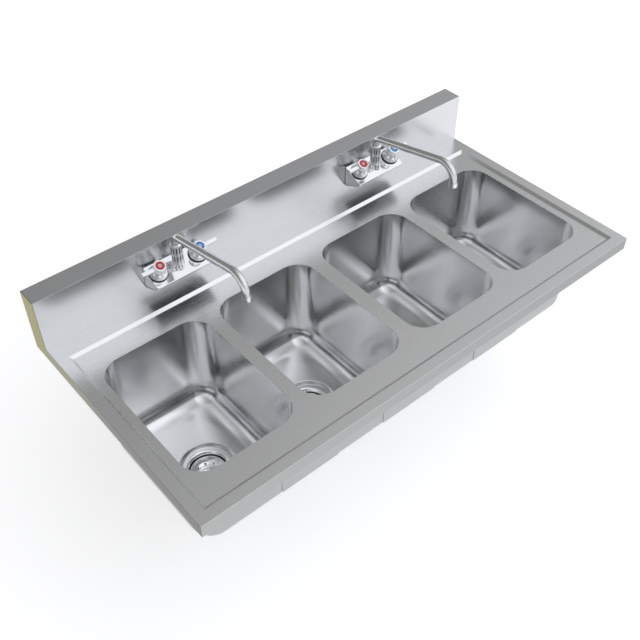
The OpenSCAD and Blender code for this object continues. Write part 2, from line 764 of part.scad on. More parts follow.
deck_top();
backsplash();
left_end_cap();
right_end_cap();
bowl_webs();
for (i = [0:3]) {
    bowl(i);
    drain_body(i);
    basket(i);
    basket_seal(i);
}
drain_gaskets();
drain_locknuts();
tailpieces();
slip_nuts();
for (f = [0, 1]) {
    faucet_body(f);
    spout(f);
    aerator(f);
    spout_ring(f);
    spout_nut(f);
    handle_rings(f);
    for (k = [0, 1]) {
        side = hand[k];
        tap = ["hot", "cold"][k];
        cartridge(f, side);
        stem(f, side);
        handle(f, side);
        handle_screw(f, side);
        index_button(f, side);
    }
}
wall_pads();
inlet_shanks();
shank_nuts();
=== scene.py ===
import math

import bmesh
import bpy
import numpy as np
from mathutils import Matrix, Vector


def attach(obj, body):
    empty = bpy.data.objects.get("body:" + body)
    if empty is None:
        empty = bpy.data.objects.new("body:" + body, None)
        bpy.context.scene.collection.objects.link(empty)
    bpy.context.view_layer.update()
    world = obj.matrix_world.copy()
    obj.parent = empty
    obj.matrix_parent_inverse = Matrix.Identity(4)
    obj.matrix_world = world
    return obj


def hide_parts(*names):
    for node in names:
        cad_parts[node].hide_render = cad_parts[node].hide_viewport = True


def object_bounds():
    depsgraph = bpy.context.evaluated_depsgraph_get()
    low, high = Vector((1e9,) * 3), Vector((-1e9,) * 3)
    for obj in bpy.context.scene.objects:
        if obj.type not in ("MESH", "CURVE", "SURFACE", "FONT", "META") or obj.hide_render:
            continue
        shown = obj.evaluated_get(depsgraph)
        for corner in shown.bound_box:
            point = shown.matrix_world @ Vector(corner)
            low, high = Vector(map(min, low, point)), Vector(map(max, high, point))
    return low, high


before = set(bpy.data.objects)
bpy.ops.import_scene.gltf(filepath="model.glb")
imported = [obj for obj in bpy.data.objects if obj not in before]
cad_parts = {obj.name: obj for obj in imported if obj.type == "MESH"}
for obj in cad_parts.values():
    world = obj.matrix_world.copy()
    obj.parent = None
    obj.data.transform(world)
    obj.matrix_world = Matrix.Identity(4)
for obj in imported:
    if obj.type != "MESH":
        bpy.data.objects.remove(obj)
cad_box = [list(corner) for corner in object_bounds()]

# The camera stands where the photograph's was: in front of the left half, high up, looking down and
# to the right. The picture is square, and the lens was solved from the top's straight edges.
camera_data = bpy.data.cameras.new("photo_camera")
camera_data.sensor_width = 36
camera_data.lens = 50.24
camera = bpy.data.objects.new("photo_camera", camera_data)
camera.location = (-1.0036, -1.3930, 1.3328)
camera.rotation_euler = (math.radians(90 - 44.320), 0, math.radians(-40.302))
bpy.context.scene.collection.objects.link(camera)
bpy.context.scene.camera = camera

# The deck is one stainless sheet: a flat rim with a folded apron on three sides, and a pressed
# recess with four bowl openings. It is folded, pressed and then brushed with a fine satin grain.
SHEET = 0.0012
HALF_LENGTH = 0.6096
FRONT = -0.6096
SPLASH_FACE = -0.0508
REAR_LAP = 0.0008
APRON = 0.032
LIP = 0.014
RIM = 0.0254
REAR_FLAT = 0.0508
RECESS = 0.00635
FLOOR = -RECESS
SLOPE = 0.007
SLOPE_LEAD = 0.002
SLOPE_SOFT = 0.0014
BEND_IN = 0.001
FOLD_SOFT = 0.0002
BOWL_X = (-0.4318, -0.14605, 0.14605, 0.4318)
BOWL_Y = -0.3414
BOWL_HALF = (0.127, 0.1778)
BOWL_CORNER = 0.0508
BRUSHED = (6, 900, 900)


def grid_faces(rows, cols, wrap, start):
    """Four-cornered faces between neighbours on a grid of points, row by row; wrap joins the last column to the
    first, and start is the number of the grid's first point."""
    r, c = np.meshgrid(np.arange(rows - 1), np.arange(cols if wrap else cols - 1), indexing="ij")
    low, high, right = r * cols, (r + 1) * cols, (c + 1) % cols
    return np.stack([low + c, low + right, high + right, high + c], -1).reshape(-1, 4) + start


def build(name, surfaces, material, body, stands_for, crisp=35, wall=0, soften=0, facing=None, back=None):
    """One piece from several surfaces. Each is (points on a grid, wrap). Points that coincide are merged, so that
    poles and seams close; edges sharper than crisp degrees stay sharp; wall gives an open sheet its thickness
    behind the faces, and soften rounds its cut edges. facing is a point and the direction in which the face
    nearest to it looks, for an open sheet, and back the material of its other side."""
    points, faces, start = [], [], 0
    for surface, wrap in surfaces:
        rows, cols = surface.shape[:2]
        points.append(surface.reshape(-1, 3))
        faces.append(grid_faces(rows, cols, wrap, start))
        start += rows * cols
    points, faces = np.concatenate(points), np.concatenate(faces)
    mesh = bpy.data.meshes.new(name)
    mesh.from_pydata(points.tolist(), [], faces.tolist())
    work = bmesh.new()
    work.from_mesh(mesh)
    bmesh.ops.remove_doubles(work, verts=work.verts, dist=2e-6)
    bmesh.ops.dissolve_degenerate(work, edges=work.edges, dist=1e-7)
    bmesh.ops.recalc_face_normals(work, faces=work.faces)
    if facing:
        centres = np.array([face.calc_center_median() for face in work.faces])
        work.faces.ensure_lookup_table()
        nearest = work.faces[int(np.argmin(((centres - facing[0]) ** 2).sum(1)))]
        if np.dot(nearest.normal, facing[1]) < 0:
            bmesh.ops.reverse_faces(work, faces=work.faces)
    work.to_mesh(mesh)
    work.free()
    mesh.shade_smooth()
    mesh.set_sharp_from_angle(angle=math.radians(crisp))
    mesh.materials.append(material)
    piece = bpy.data.objects.new(name, mesh)
    bpy.context.scene.collection.objects.link(piece)
    if wall:
        solid = piece.modifiers.new("wall", "SOLIDIFY")
        solid.thickness = wall
        solid.offset = -1
        solid.use_even_offset = True
        if back:
            mesh.materials.append(back)
            solid.material_offset = 1
    if soften:
        bevel = piece.modifiers.new("cut_edges", "BEVEL")
        bevel.width = soften
        bevel.segments = 2
        bevel.limit_method = "ANGLE"
        bevel.angle_limit = math.radians(50)
        bevel.use_clamp_overlap = True
        bevel.harden_normals = True
    weigh = piece.modifiers.new("flat_faces", "WEIGHTED_NORMAL")
    weigh.keep_sharp = True
    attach(piece, body)
    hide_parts(*stands_for)
    return piece


def mark(piece, name, values, domain="FACE"):
    """Gives each face or point of a piece's mesh a value of its own for its material, worked out from its place."""
    parts, place = {"FACE": (piece.data.polygons, "center"), "POINT": (piece.data.vertices, "co")}[domain]
    points = np.empty(len(parts) * 3, np.float32)
    parts.foreach_get(place, points)
    layer = piece.data.attributes.new(name, "FLOAT", domain)
    layer.data.foreach_set("value", values(points.reshape(-1, 3).astype(float)).astype(np.float32))


def unit(ways):
    """Each row divided by its own length."""
    return ways / (np.linalg.norm(ways, axis=1, keepdims=True) + 1e-12)


def rounded(corners, radii, steps=5, closed=True):
    """A path in a plane with its corners rounded: each gives way to an arc of its radius that touches both edges."""
    corners = np.asarray(corners, float)
    radii = np.broadcast_to(np.asarray(radii, float), len(corners)).copy()
    if not closed:
        radii[[0, -1]] = 0
    back = unit(np.roll(corners, 1, 0) - corners)
    ahead = unit(np.roll(corners, -1, 0) - corners)
    half = np.arccos(np.clip((back * ahead).sum(1), -1, 1)) / 2
    half = np.where(radii > 0, half, math.pi / 4)
    centre = corners + unit(back + ahead) * (radii / np.sin(half))[:, None]
    first = corners + back * (radii / np.tan(half))[:, None] - centre
    last = corners + ahead * (radii / np.tan(half))[:, None] - centre
    turn = (math.pi - 2 * half)[:, None, None]
    share = np.linspace(0, 1, steps + 1)[None, :, None]
    arcs = np.sin((1 - share) * turn) * first[:, None] + np.sin(share * turn) * last[:, None]
    return (centre[:, None] + arcs / np.sin(turn)).reshape(-1, 2)


def round_box(half, corner, steps):
    """The outline of a box with round corners, anticlockwise from the low end of the right side, in even steps along
    each side and round each corner. Gives the points, their outward directions, each point's angle within its
    corner as a share of a right angle (below 0 on a side), and the number of its side."""
    side = np.repeat(np.arange(4), 2 * steps)
    place = np.tile(np.arange(2 * steps), 4)
    on_side = place < steps
    share = np.where(on_side, -1.0, (place - steps) / steps)
    angle = side * math.pi / 2 + np.where(on_side, 0, share) * math.pi / 2
    normal = np.stack([np.cos(angle), np.sin(angle)], -1)
    inner = np.array(half) - corner
    corners = np.array([[1, 1], [-1, 1], [-1, -1], [1, -1]]) * inner
    before = np.array([[1, -1], [1, 1], [-1, 1], [-1, -1]]) * inner
    along = np.where(on_side, place / steps, 1)[:, None]
    points = before[side] + (corners[side] - before[side]) * along + normal * corner
    return points, normal, share, side


def opening_cell(x_low, x_high, y_low, y_high):
    """The flat sheet round one bowl opening, out to the edges of its share of the deck. Points on the opening's
    sides go straight across to the cell's edge, and those round its corners spread to the cell's corner."""
    points, _, share, side = round_box(BOWL_HALF, BOWL_CORNER, 16)
    inner = np.array(BOWL_HALF) - BOWL_CORNER
    to_right, to_back, level = np.isin(side, (0, 3)), np.isin(side, (0, 1)), np.isin(side, (0, 2))
    reach_x = np.where(to_right, x_high, -x_low)
    reach_y = np.where(to_back, y_high, -y_low)
    first = np.clip(2 * share, 0, 1)
    second = np.clip(2 - 2 * share, 0, 1)
    spread_x = np.where(level, second, first)
    spread_y = np.where(level, first, second)
    edge_x = np.where(to_right, 1, -1) * (inner[0] + (reach_x - inner[0]) * spread_x)
    edge_y = np.where(to_back, 1, -1) * (inner[1] + (reach_y - inner[1]) * spread_y)
    side_x = np.where(level, np.where(side == 0, x_high, x_low), points[:, 0])
    side_y = np.where(level, points[:, 1], np.where(side == 1, y_high, y_low))
    on_side = share < 0
    edge = np.stack([np.where(on_side, side_x, edge_x), np.where(on_side, side_y, edge_y)], -1)
    return np.stack([edge, points])


def feed(socket, value):
    """Sets an input of a node to a value, or links it to another node's socket."""
    if isinstance(value, bpy.types.NodeSocket):
        socket.id_data.links.new(value, socket)
    else:
        socket.default_value = value


def new_node(nodes, kind, **values):
    """A new node, with some of its inputs fed by name; a _ in a name stands for a space."""
    node = nodes.new(kind)
    for name, value in values.items():
        feed(node.inputs[name.replace("_", " ")], value)
    return node


def set_stops(ramp, stops):
    """Gives a new colour ramp, which has two stops of its own, all of these stops of (position, colour)."""
    elements = ramp.color_ramp.elements
    for k, (position, colour) in enumerate(stops):
        element = elements[k] if k < 2 else elements.new(position)
        element.position, element.color = position, (*colour, 1)


def finish(name, tone, dark, rough, grain, dent=0.4, coarse=1.0, metal=1, tint=None):
    """A surface that is never quite even: a fine noise drawn out along the grain varies the tone, the roughness and
    the height, and a broad soft noise adds faint clouds. grain is the fine noise's scale on each axis, dent how
    strongly it stands out, coarse makes the clouds smaller, and tint may change the colour by place."""
    material = bpy.data.materials.new(name)
    material.use_nodes = True
    nodes = material.node_tree.nodes
    shader = nodes["Principled BSDF"]
    feed(shader.inputs["Metallic"], metal)
    place = nodes.new("ShaderNodeTexCoord").outputs["Object"]
    stretch = new_node(nodes, "ShaderNodeMapping", Vector=place, Scale=grain)
    hairs = new_node(nodes, "ShaderNodeTexNoise", Vector=stretch.outputs["Vector"], Scale=1, Detail=4,
                     Roughness=0.6).outputs["Fac"]
    clouds = new_node(nodes, "ShaderNodeTexNoise", Vector=place, Scale=5 * coarse, Detail=3).outputs["Fac"]
    blend = new_node(nodes, "ShaderNodeMix", Factor=0.35, A=hairs, B=clouds).outputs["Result"]
    colour = new_node(nodes, "ShaderNodeValToRGB", Fac=blend)
    set_stops(colour, [(0.3, dark), (0.7, tone)])
    shown = tint(nodes, colour.outputs["Color"]) if tint else colour.outputs["Color"]
    feed(shader.inputs["Base Color"], shown)
    gloss = new_node(nodes, "ShaderNodeMapRange", Value=blend, To_Min=rough[0], To_Max=rough[1])
    feed(shader.inputs["Roughness"], gloss.outputs["Result"])
    ridges = new_node(nodes, "ShaderNodeBump", Height=hairs, Strength=dent, Distance=0.00002)
    feed(shader.inputs["Normal"], ridges.outputs["Normal"])
    return material


def ramp_along(nodes, axis, start, end):
    """A value that goes from 0 to 1 between two places on an axis, for a material."""
    place = nodes.new("ShaderNodeTexCoord")
    parts = new_node(nodes, "ShaderNodeSeparateXYZ", Vector=place.outputs["Object"])
    share = new_node(nodes, "ShaderNodeMapRange", Value=parts.outputs[axis], From_Min=start, From_Max=end)
    return share.outputs["Result"]


def blended(nodes, factor, first, second, blend="MIX"):
    """One colour that gives way to a second where the factor is 1. Each is a colour or a socket."""
    mix = nodes.new("ShaderNodeMix")
    mix.data_type = "RGBA"
    mix.blend_type = blend
    for name, value in (("Factor", factor), ("A", first), ("B", second)):
        feed(mix.inputs[name], (*value, 1) if isinstance(value, tuple) else value)
    return mix.outputs["Result"]


def apron_painted_shade(nodes, colour):
    """The deck's colour by place, with painted shade: as it is on top, painted darker on the front apron, and more so
    towards the right. The left end's face is painted dark as shade, a little yellow at the back, and grey from there
    on. Each tone starts within the sheet."""
    left_dim, right_dim = (0.60, 0.61, 0.60), (0.44, 0.45, 0.45)
    end_grey, end_yellow = (0.125, 0.125, 0.118), (0.20, 0.19, 0.065)
    front = ramp_along(nodes, "Y", FRONT + 0.0012, FRONT + 0.0004)
    right = ramp_along(nodes, "X", -HALF_LENGTH, HALF_LENGTH)
    below = ramp_along(nodes, "Z", -0.0002, -0.0008)
    back = ramp_along(nodes, "Y", -0.32, -0.12)
    left = ramp_along(nodes, "X", -HALF_LENGTH + 0.0006, -HALF_LENGTH + 0.0001)
    aprons = blended(nodes, right, blended(nodes, front, colour, left_dim, "MULTIPLY"),
                     blended(nodes, front, colour, right_dim, "MULTIPLY"))
    top = blended(nodes, below, colour, aprons)
    return blended(nodes, left, top, blended(nodes, back, end_grey, end_yellow))


def shade(name, level):
    """Darker where the mesh carries a value of this name, as in a slot, a deep hole or an underside."""
    def tint(nodes, colour):
        value = nodes.new("ShaderNodeAttribute")
        value.attribute_name = name
        return blended(nodes, value.outputs["Fac"], colour, (level, level, level), "MULTIPLY")
    return tint


# The deck's front apron and left end face are painted darker: painted shade.
deck_steel = finish("deck_steel", (0.75, 0.755, 0.755), (0.725, 0.73, 0.73), (0.24, 0.31), BRUSHED, dent=0.08,
                    tint=apron_painted_shade)
# The sheets' hidden sides are left as they come from the mill, rougher and duller; their colour is also painted
# darker than the top's, as painted shade.
shaded_mill_steel = finish("shaded_mill_steel", (0.50, 0.51, 0.51), (0.45, 0.46, 0.46), (0.32, 0.40), BRUSHED, dent=0.12)
cell_x = np.array([-HALF_LENGTH + RIM + SLOPE + BEND_IN, (BOWL_X[0] + BOWL_X[1]) / 2, 0,
                   (BOWL_X[2] + BOWL_X[3]) / 2, HALF_LENGTH - RIM - SLOPE - BEND_IN])
cell_y = np.array([FRONT + RIM + SLOPE + BEND_IN, SPLASH_FACE - REAR_FLAT - SLOPE - BEND_IN])
cells = [opening_cell(cell_x[i] - x, cell_x[i + 1] - x, *(cell_y - BOWL_Y)) + [x, BOWL_Y]
         for i, x in enumerate(BOWL_X)]
recess = np.array([[cell_x[0], cell_y[0]], [cell_x[-1], cell_y[1]]])
recess_long, recess_wide = recess[1] - recess[0]


def around(points):
    """How far along the recess's edge each point lies, from its front left corner, anticlockwise, and -1 off it."""
    x, y = points[:, 0] - cell_x[0], points[:, 1] - cell_y[0]
    near = 1e-7
    return np.select([y < near, x > recess_long - near, y > recess_wide - near, x < near],
                     [x, recess_long + y, recess_long + recess_wide + recess_long - x,
                      2 * recess_long + 2 * recess_wide - y], -1)


def raised(points, z):
    """Points in a plane, lifted to a height."""
    return np.concatenate([points, np.broadcast_to(np.asarray(z, float), points.shape[:-1])[..., None]], -1)


def carried(line, ways, path):
    """A path of (distance, height) carried along a line: from each point of the line it goes out along its way."""
    return raised(line + ways * path[:, 0, None, None], path[:, 1, None])


edge = np.concatenate([cell[0] for cell in cells])
place, order = np.unique(np.round(around(edge), 6), return_index=True)
edge = edge[order][place >= 0]
place = place[place >= 0]
away = np.isclose(edge, recess[1]).astype(int) - np.isclose(edge, recess[0]).astype(int)
slope_top = SLOPE + BEND_IN
slope_path = rounded([(slope_top + SLOPE_LEAD, 0), (slope_top, 0), (BEND_IN, FLOOR), (0, FLOOR)], SLOPE_SOFT,
                     closed=False)
slope_rows = carried(edge, away, slope_path)
deck_corners = np.array([[-HALF_LENGTH, FRONT], [HALF_LENGTH, SPLASH_FACE + REAR_LAP]])
rim_edge = np.where(away == 0, edge, np.where(away < 0, deck_corners[0], deck_corners[1]))
rim_rows = np.stack([raised(rim_edge, 0), slope_rows[0]])
sides = np.concatenate([np.flatnonzero(place >= 2 * recess_long + recess_wide - 1e-5),
                        np.flatnonzero(place <= recess_long + recess_wide + 1e-5)])
apron_path = np.array([(0, 0), (0, -APRON), (-LIP, -APRON)])
apron_rows = carried(rim_edge[sides], np.minimum(away[sides], [1, 0]), apron_path)
deck_surfaces = [(raised(cell, FLOOR), True) for cell in cells]
deck_surfaces += [(slope_rows, True), (rim_rows, True), (apron_rows, False)]
build("deck_sheet", deck_surfaces, deck_steel, "sink", ["deck_top"], wall=SHEET, soften=FOLD_SOFT,
      facing=((0, FRONT + RIM / 2, 0), (0, 0, 1)), back=shaded_mill_steel)

# The backsplash is one folded stainless sheet, welded to the deck: it rises from it, turns back to the wall at
# the top and ends in a hem against the wall. Its cut ends are welded to the end caps.
SPLASH_HIGH = 0.127
HEM = 0.020
splash_steel = finish("splash_steel", (0.75, 0.76, 0.77), (0.725, 0.735, 0.745), (0.21, 0.27), BRUSHED, dent=0.08)
splash_path = np.array([(SPLASH_FACE, -SHEET), (SPLASH_FACE, SPLASH_HIGH), (0, SPLASH_HIGH),
                        (0, SPLASH_HIGH - HEM)])
splash_ends = np.linspace(-HALF_LENGTH + SHEET, HALF_LENGTH - SHEET, 33)
splash_rows = np.stack(np.broadcast_arrays(splash_ends, splash_path[:, :1], splash_path[:, 1:]), -1)
build("backsplash_sheet", [(splash_rows, False)], splash_steel, "sink", ["backsplash"], wall=SHEET,
      soften=FOLD_SOFT, facing=((0, SPLASH_FACE, SPLASH_HIGH / 2), (0, -1, 0)), back=shaded_mill_steel)

# Each end cap is a flat plate of the same sheet, welded to the ends of the backsplash and flush with the side apron.
# The left one is painted much darker than the right, as painted shade, and a little yellow.
PLATE_SOFT = 0.0003
CAP_BRUSHED = (900, 6, 900)


def outward(outline):
    """For each corner of an anticlockwise outline, the way that moves both its edges outward by 1."""
    ahead, back = np.roll(outline, -1, 0) - outline, outline - np.roll(outline, 1, 0)
    out_a, out_b = unit(ahead[:, ::-1] * [1, -1]), unit(back[:, ::-1] * [1, -1])
    return (out_a + out_b) / (1 + (out_a * out_b).sum(1, keepdims=True))


def plate(outline, low, high, soft):
    """A flat plate with softened edges: its outline, drawn in by a small arc at both faces, and closed by a fan to
    its middle. The outline's points are (a, b), and the result is (a, b, height)."""
    turn = np.linspace(0, math.pi / 2, 4)
    inset = soft * (1 - np.concatenate([np.sin(turn), np.cos(turn)]))
    height = np.concatenate([low + soft * (1 - np.cos(turn)), high - soft * (1 - np.sin(turn))])
    rows = carried(outline, outward(outline), np.stack([-inset, height], -1))
    middle = np.broadcast_to(outline.mean(0), outline.shape)
    return np.concatenate([raised(middle, low)[None], rows, raised(middle, high)[None]])


def box(left, low, right, high):
    """The corners of an upright rectangle, anticlockwise from its lower left."""
    return [(left, low), (right, low), (right, high), (left, high)]


left_cap_shaded_steel = finish("left_cap_shaded_steel", (0.32, 0.30, 0.10), (0.29, 0.27, 0.09), (0.3, 0.42), CAP_BRUSHED)
right_cap_steel = finish("right_cap_steel", (0.72, 0.73, 0.74), (0.66, 0.67, 0.68), (0.26, 0.36), CAP_BRUSHED)
cap = plate(rounded(box(SPLASH_FACE, -APRON, 0, SPLASH_HIGH), FOLD_SOFT), HALF_LENGTH - SHEET, HALF_LENGTH,
            PLATE_SOFT)
for name, side, material in (("left", -1, left_cap_shaded_steel), ("right", 1, right_cap_steel)):
    build(f"{name}_cap_plate", [(np.stack([cap[..., 2] * side, cap[..., 0], cap[..., 1]], -1), True)], material,
          "sink", [f"{name}_end_cap"])

# The four bowls are deep-drawn stainless steel, with round upright corners, a generous radius at the foot, and a
# bottom that falls softly to the drain from all sides. Each is welded under its opening.
BOWL_BOTTOM = FLOOR - 0.244
FILLET = 0.0433
FALL = 0.0065
FALL_SOFT = 0.0004
SEAT_R = 0.0607
SEAT_DROP = 0.014
SEAT_Z = BOWL_BOTTOM - SEAT_DROP
SEAT_LEAN = 0.0026
SEAT_TOP_IN = 0.0004
SEAT_SIDE = 0.006
SEAT_CORNER = 0.0015
SHOULDER = 0.0025
DRAIN_HOLE = 0.046
bowl_steel = finish("bowl_steel", (0.765, 0.77, 0.773), (0.73, 0.735, 0.738), (0.18, 0.24), (700, 700, 14), dent=0.1,
                    coarse=2)
fall_half = np.array(BOWL_HALF) - BOWL_CORNER + (BOWL_CORNER - FILLET) * math.cos(math.pi / 4)


def fallen(points):
    """Height of a bowl's bottom: it sinks towards the drain by what its distance from the middle leaves of 1, where
    the distance is a rounded box's own: the cube root of the sum of both shares cubed."""
    left = 1 - (np.abs(points / fall_half) ** 3).sum(-1) ** (1 / 3)
    return BOWL_BOTTOM - FALL * (left + np.sqrt(left ** 2 + FALL_SOFT)) / 2


outline, normal, _, _ = round_box(BOWL_HALF, BOWL_CORNER, 20)
turn = np.linspace(0, math.pi / 2, 15)
inset = np.concatenate([np.zeros(6), FILLET * (1 - np.cos(turn))])
height = np.concatenate([np.linspace(FLOOR - SHEET, BOWL_BOTTOM + FILLET, 7)[:-1],
                         BOWL_BOTTOM + FILLET * (1 - np.sin(turn))])
walls = carried(outline, normal, np.stack([-inset, height], -1))
foot = walls[-1, :, :2]
direction = foot / np.linalg.norm(foot, axis=1, keepdims=True)
bottom = foot + (direction * (SEAT_R + SHOULDER) - foot) * np.linspace(0, 1, 19)[1:, None, None]
walls[-1, :, 2] = fallen(foot)
bottom = raised(bottom, fallen(bottom))
turn = np.linspace(0, math.pi / 2, 6)[1:]
lip_rows = raised(direction * (SEAT_R + SHOULDER * (1 - np.sin(turn)))[:, None, None],
                  bottom[-1, :, 2] - SHOULDER * (1 - np.cos(turn))[:, None])
seat_path = rounded([(SEAT_R - SEAT_TOP_IN, SEAT_Z + SEAT_SIDE), (SEAT_R - SEAT_LEAN, SEAT_Z), (DRAIN_HOLE, SEAT_Z)],
                    SEAT_CORNER, closed=False)
bowl_rows = np.concatenate([walls, bottom, lip_rows, carried(0, direction, seat_path)])
for number, x in enumerate(BOWL_X, 1):
    build(f"drawn_bowl_{number}", [(bowl_rows + [x, BOWL_Y, 0], True)], bowl_steel, "sink",
          [f"bowl_{number}"], crisp=60, wall=SHEET,
          facing=((x, BOWL_Y + BOWL_HALF[1] / 2, BOWL_BOTTOM), (0, 0, 1)), back=shaded_mill_steel)

# Plain strips of the same sheet close the spaces between the bowls behind the apron. They are tacked to the
# bowls' flat fronts and hang from the deck's underside.
WEB_TOP = FLOOR - SHEET
WEB_HIGH = 0.2125
WEB_LAP = 0.010
WEB_CORNER = 0.002
webs = []
for left, right in zip(BOWL_X, BOWL_X[1:]):
    web = box(left + BOWL_HALF[0] - BOWL_CORNER - WEB_LAP, WEB_TOP - WEB_HIGH,
              right - BOWL_HALF[0] + BOWL_CORNER + WEB_LAP, WEB_TOP)
    web = plate(rounded(web, WEB_CORNER), BOWL_Y - BOWL_HALF[1] - 2 * SHEET, BOWL_Y - BOWL_HALF[1] - SHEET,
                PLATE_SOFT)
    webs.append((web[..., [0, 2, 1]], True))
# The strips take the hidden sides' darker colour, which is painted shade.
build("web_strips", webs, shaded_mill_steel, "sink", ["bowl_webs"])

# Each drain body is turned from stainless steel: a dished flange that lies in the bowl's seat, a cup with a ledge
# for the basket, a threaded barrel for the locknut, and a neck for the tailpiece.
MM = 0.001
FLANGE_R = 57.1
BARREL_R = 45.2
NECK_R = 20
CUP_FOOT = -44.6
THREAD_DEEP = 0.5
drain_places = [(x, BOWL_Y, SEAT_Z) for x in BOWL_X]


def even_turn(count):
    """Evenly spaced angles once round an axis."""
    return np.linspace(0, 2 * math.pi, count + 1)[:-1]


round_96 = even_turn(96)


def turned(path, angles=round_96, grow=0):
    """A path of (radius, height) in mm carried round the vertical axis, with an optional growth of the radius for
    each path point and angle."""
    radius = np.broadcast_to(path[:, :1], (len(path), len(angles))) + grow
    height = np.broadcast_to(path[:, 1:], radius.shape)
    return np.stack([radius * np.cos(angles), radius * np.sin(angles), height], -1) * MM


def threaded(path, at, low, high, radius, pitch):
    """A closed path turned round the axis, with a screw thread before its point number at: heights in even steps,
    and a radius that sinks and rises once every pitch, shifted round the axis so that the ridge climbs. It fades
    out over one pitch at both ends."""
    height = np.linspace(low, high, int((high - low) / pitch * 8) + 1)
    fade = np.clip(np.minimum(height - low, high - height) / pitch, 0, 1)[:, None]
    wave = 0.5 - 0.5 * np.cos(2 * math.pi * height[:, None] / pitch - round_96[None])
    grow = np.zeros((len(path) + len(height) + 1, len(round_96)))
    grow[at:at + len(height)] = -THREAD_DEEP * fade * wave
    ridges = np.stack([np.full_like(height, radius), height], -1)
    return turned(np.concatenate([path[:at], ridges, path[at:], path[:1]]), grow=grow)


def inside_cup(points):
    """1 on the drain's inner faces below the basket, which light hardly reaches, and 0 elsewhere."""
    radius = np.hypot(points[:, 0], points[:, 1])
    return (points[:, 2] < -12.8) & (radius < np.interp(points[:, 2], [CUP_FOOT, -30], [21, 41.5]))


drain_steel = finish("drain_steel", (0.88, 0.90, 0.92), (0.83, 0.85, 0.87), (0.10, 0.17), (260, 260, 260), dent=0.1,
                     tint=shade("inside", 0.12))
drain_path = rounded([
    (BARREL_R, 0), (FLANGE_R, 0), (FLANGE_R, 1.8), (46.7, 1.1), (42.7, -3), (42.7, -12.5), (40.1, -12.5),
    (40.1, -30), (NECK_R, CUP_FOOT), (NECK_R, -66), (24, -66), (24, -48.6), (BARREL_R, -34)
], [0.4, 0.2, 0.8, 5.5, 1.5, 0.5, 0.4, 3, 3, 0.5, 0.5, 2, 1.2], steps=6)
drain_points = threaded(drain_path, len(drain_path), -32, -1, BARREL_R, 1.9)
for number, place in enumerate(drain_places, 1):
    cup = build(f"drain_cup_{number}", [(drain_points + place, True)], drain_steel, "sink",
                [f"drain_body_{number}"])
    mark(cup, "inside", lambda points: inside_cup((points - place) / MM))

# Each basket is pressed from one thin stainless sheet, with a rolled rim, a conical wall, a floor with a ring of
# drilled holes and a low dome in the middle. It rides in its drain and lifts straight out.
RING_IN, RING_PITCH, RING_OUT = 27.3, 29.6, 31.9
RING_Z = -21.8
RING_CLIMB = 0.58
RING_HOLE = 1.7
DOME_R = 26
DOME_HIGH = 7
DOME_TOP = -14.8
basket_steel = finish("basket_steel", (0.86, 0.87, 0.88), (0.81, 0.82, 0.83), (0.12, 0.18), (300, 300, 300),
                      dent=0.08)


def holed_ring(count, inner, outer, pitch, hole, height, per=8, climb=0):
    """A ring with round holes: one patch per hole, each a stack of loops from the edge of the hole's share of the
    ring, which is a piece of the ring in angle and radius, to the hole's own circle. It climbs outward at a slope."""
    step = np.arange(per) / per * 2 - 1
    still = np.ones(per)
    across = np.concatenate([step, still, -step, -still])
    along = np.concatenate([-still, step, still, -step])
    angle = across * math.pi / count
    radius = (inner + outer) / 2 + along * (outer - inner) / 2
    edge = np.stack([radius * np.cos(angle), radius * np.sin(angle)], -1)
    turn = -0.75 * math.pi + np.arange(4 * per) / (4 * per) * 2 * math.pi
    circle = np.stack([pitch + hole * np.sin(turn), hole * np.cos(turn)], -1)
    share = np.linspace(0, 1, 4)[:, None, None]
    loops = edge * (1 - share) + circle * share
    spin = np.arange(count)[:, None, None] * 2 * math.pi / count
    x = loops[..., 0] * np.cos(spin) - loops[..., 1] * np.sin(spin)
    y = loops[..., 0] * np.sin(spin) + loops[..., 1] * np.cos(spin)
    return np.stack([x, y, height + (np.hypot(x, y) - pitch) * climb], -1) * MM


round_80 = even_turn(80)
dome_curve = (DOME_R ** 2 + DOME_HIGH ** 2) / (2 * DOME_HIGH)
dome_lean = np.linspace(math.asin(DOME_R / dome_curve), 0, 13)[1:]
dome_points = np.stack([dome_curve * np.sin(dome_lean), DOME_TOP - dome_curve * (1 - np.cos(dome_lean))], -1)
inner_z, outer_z = [RING_Z + (radius - RING_PITCH) * RING_CLIMB for radius in (RING_IN, RING_OUT)]
basket_wall = rounded([(40.5, -12.2), (40.5, -8.8), (38.5, -8.8), (33.2, -20), (RING_OUT, outer_z)],
                      [0, 1, 0.8, 1.2, 0], closed=False)
basket_dome = rounded(np.concatenate([[(RING_IN, inner_z), (DOME_R, inner_z)], dome_points]),
                      np.concatenate([[0, 2], np.zeros(len(dome_points))]), closed=False)
basket_surfaces = [turned(basket_wall, round_80), turned(basket_dome, round_80)]
basket_surfaces += list(holed_ring(10, RING_IN, RING_OUT, RING_PITCH, RING_HOLE, RING_Z, climb=RING_CLIMB))
for number, place in enumerate(drain_places, 1):
    build(f"strainer_basket_{number}", [(surface + place, True) for surface in basket_surfaces], basket_steel,
          f"strainer_{number}", [f"basket_{number}"], wall=MM,
          facing=(np.add(place, (0, 0, DOME_TOP * MM)), (0, 0, 1)))

# A moulded black rubber ring is stretched round each basket's rim. It seals the basket on the drain's ledge, and
# lifts out with it.
black_rubber = finish("black_rubber", (0.022, 0.022, 0.023), (0.012, 0.012, 0.013), (0.45, 0.65), (500, 500, 500),
                      metal=0)


def looped(path):
    """A closed path, with its first point again at its end."""
    return np.concatenate([path, path[:1]])


seal_path = looped(rounded(box(40.56, -12.2, 42.4, -8.8), [0.3, 0.8, 0.8, 0.3]))
for number, place in enumerate(drain_places, 1):
    build(f"rim_seal_{number}", [(turned(seal_path) + place, True)], black_rubber, f"strainer_{number}",
          [f"basket_seal_{number}"])

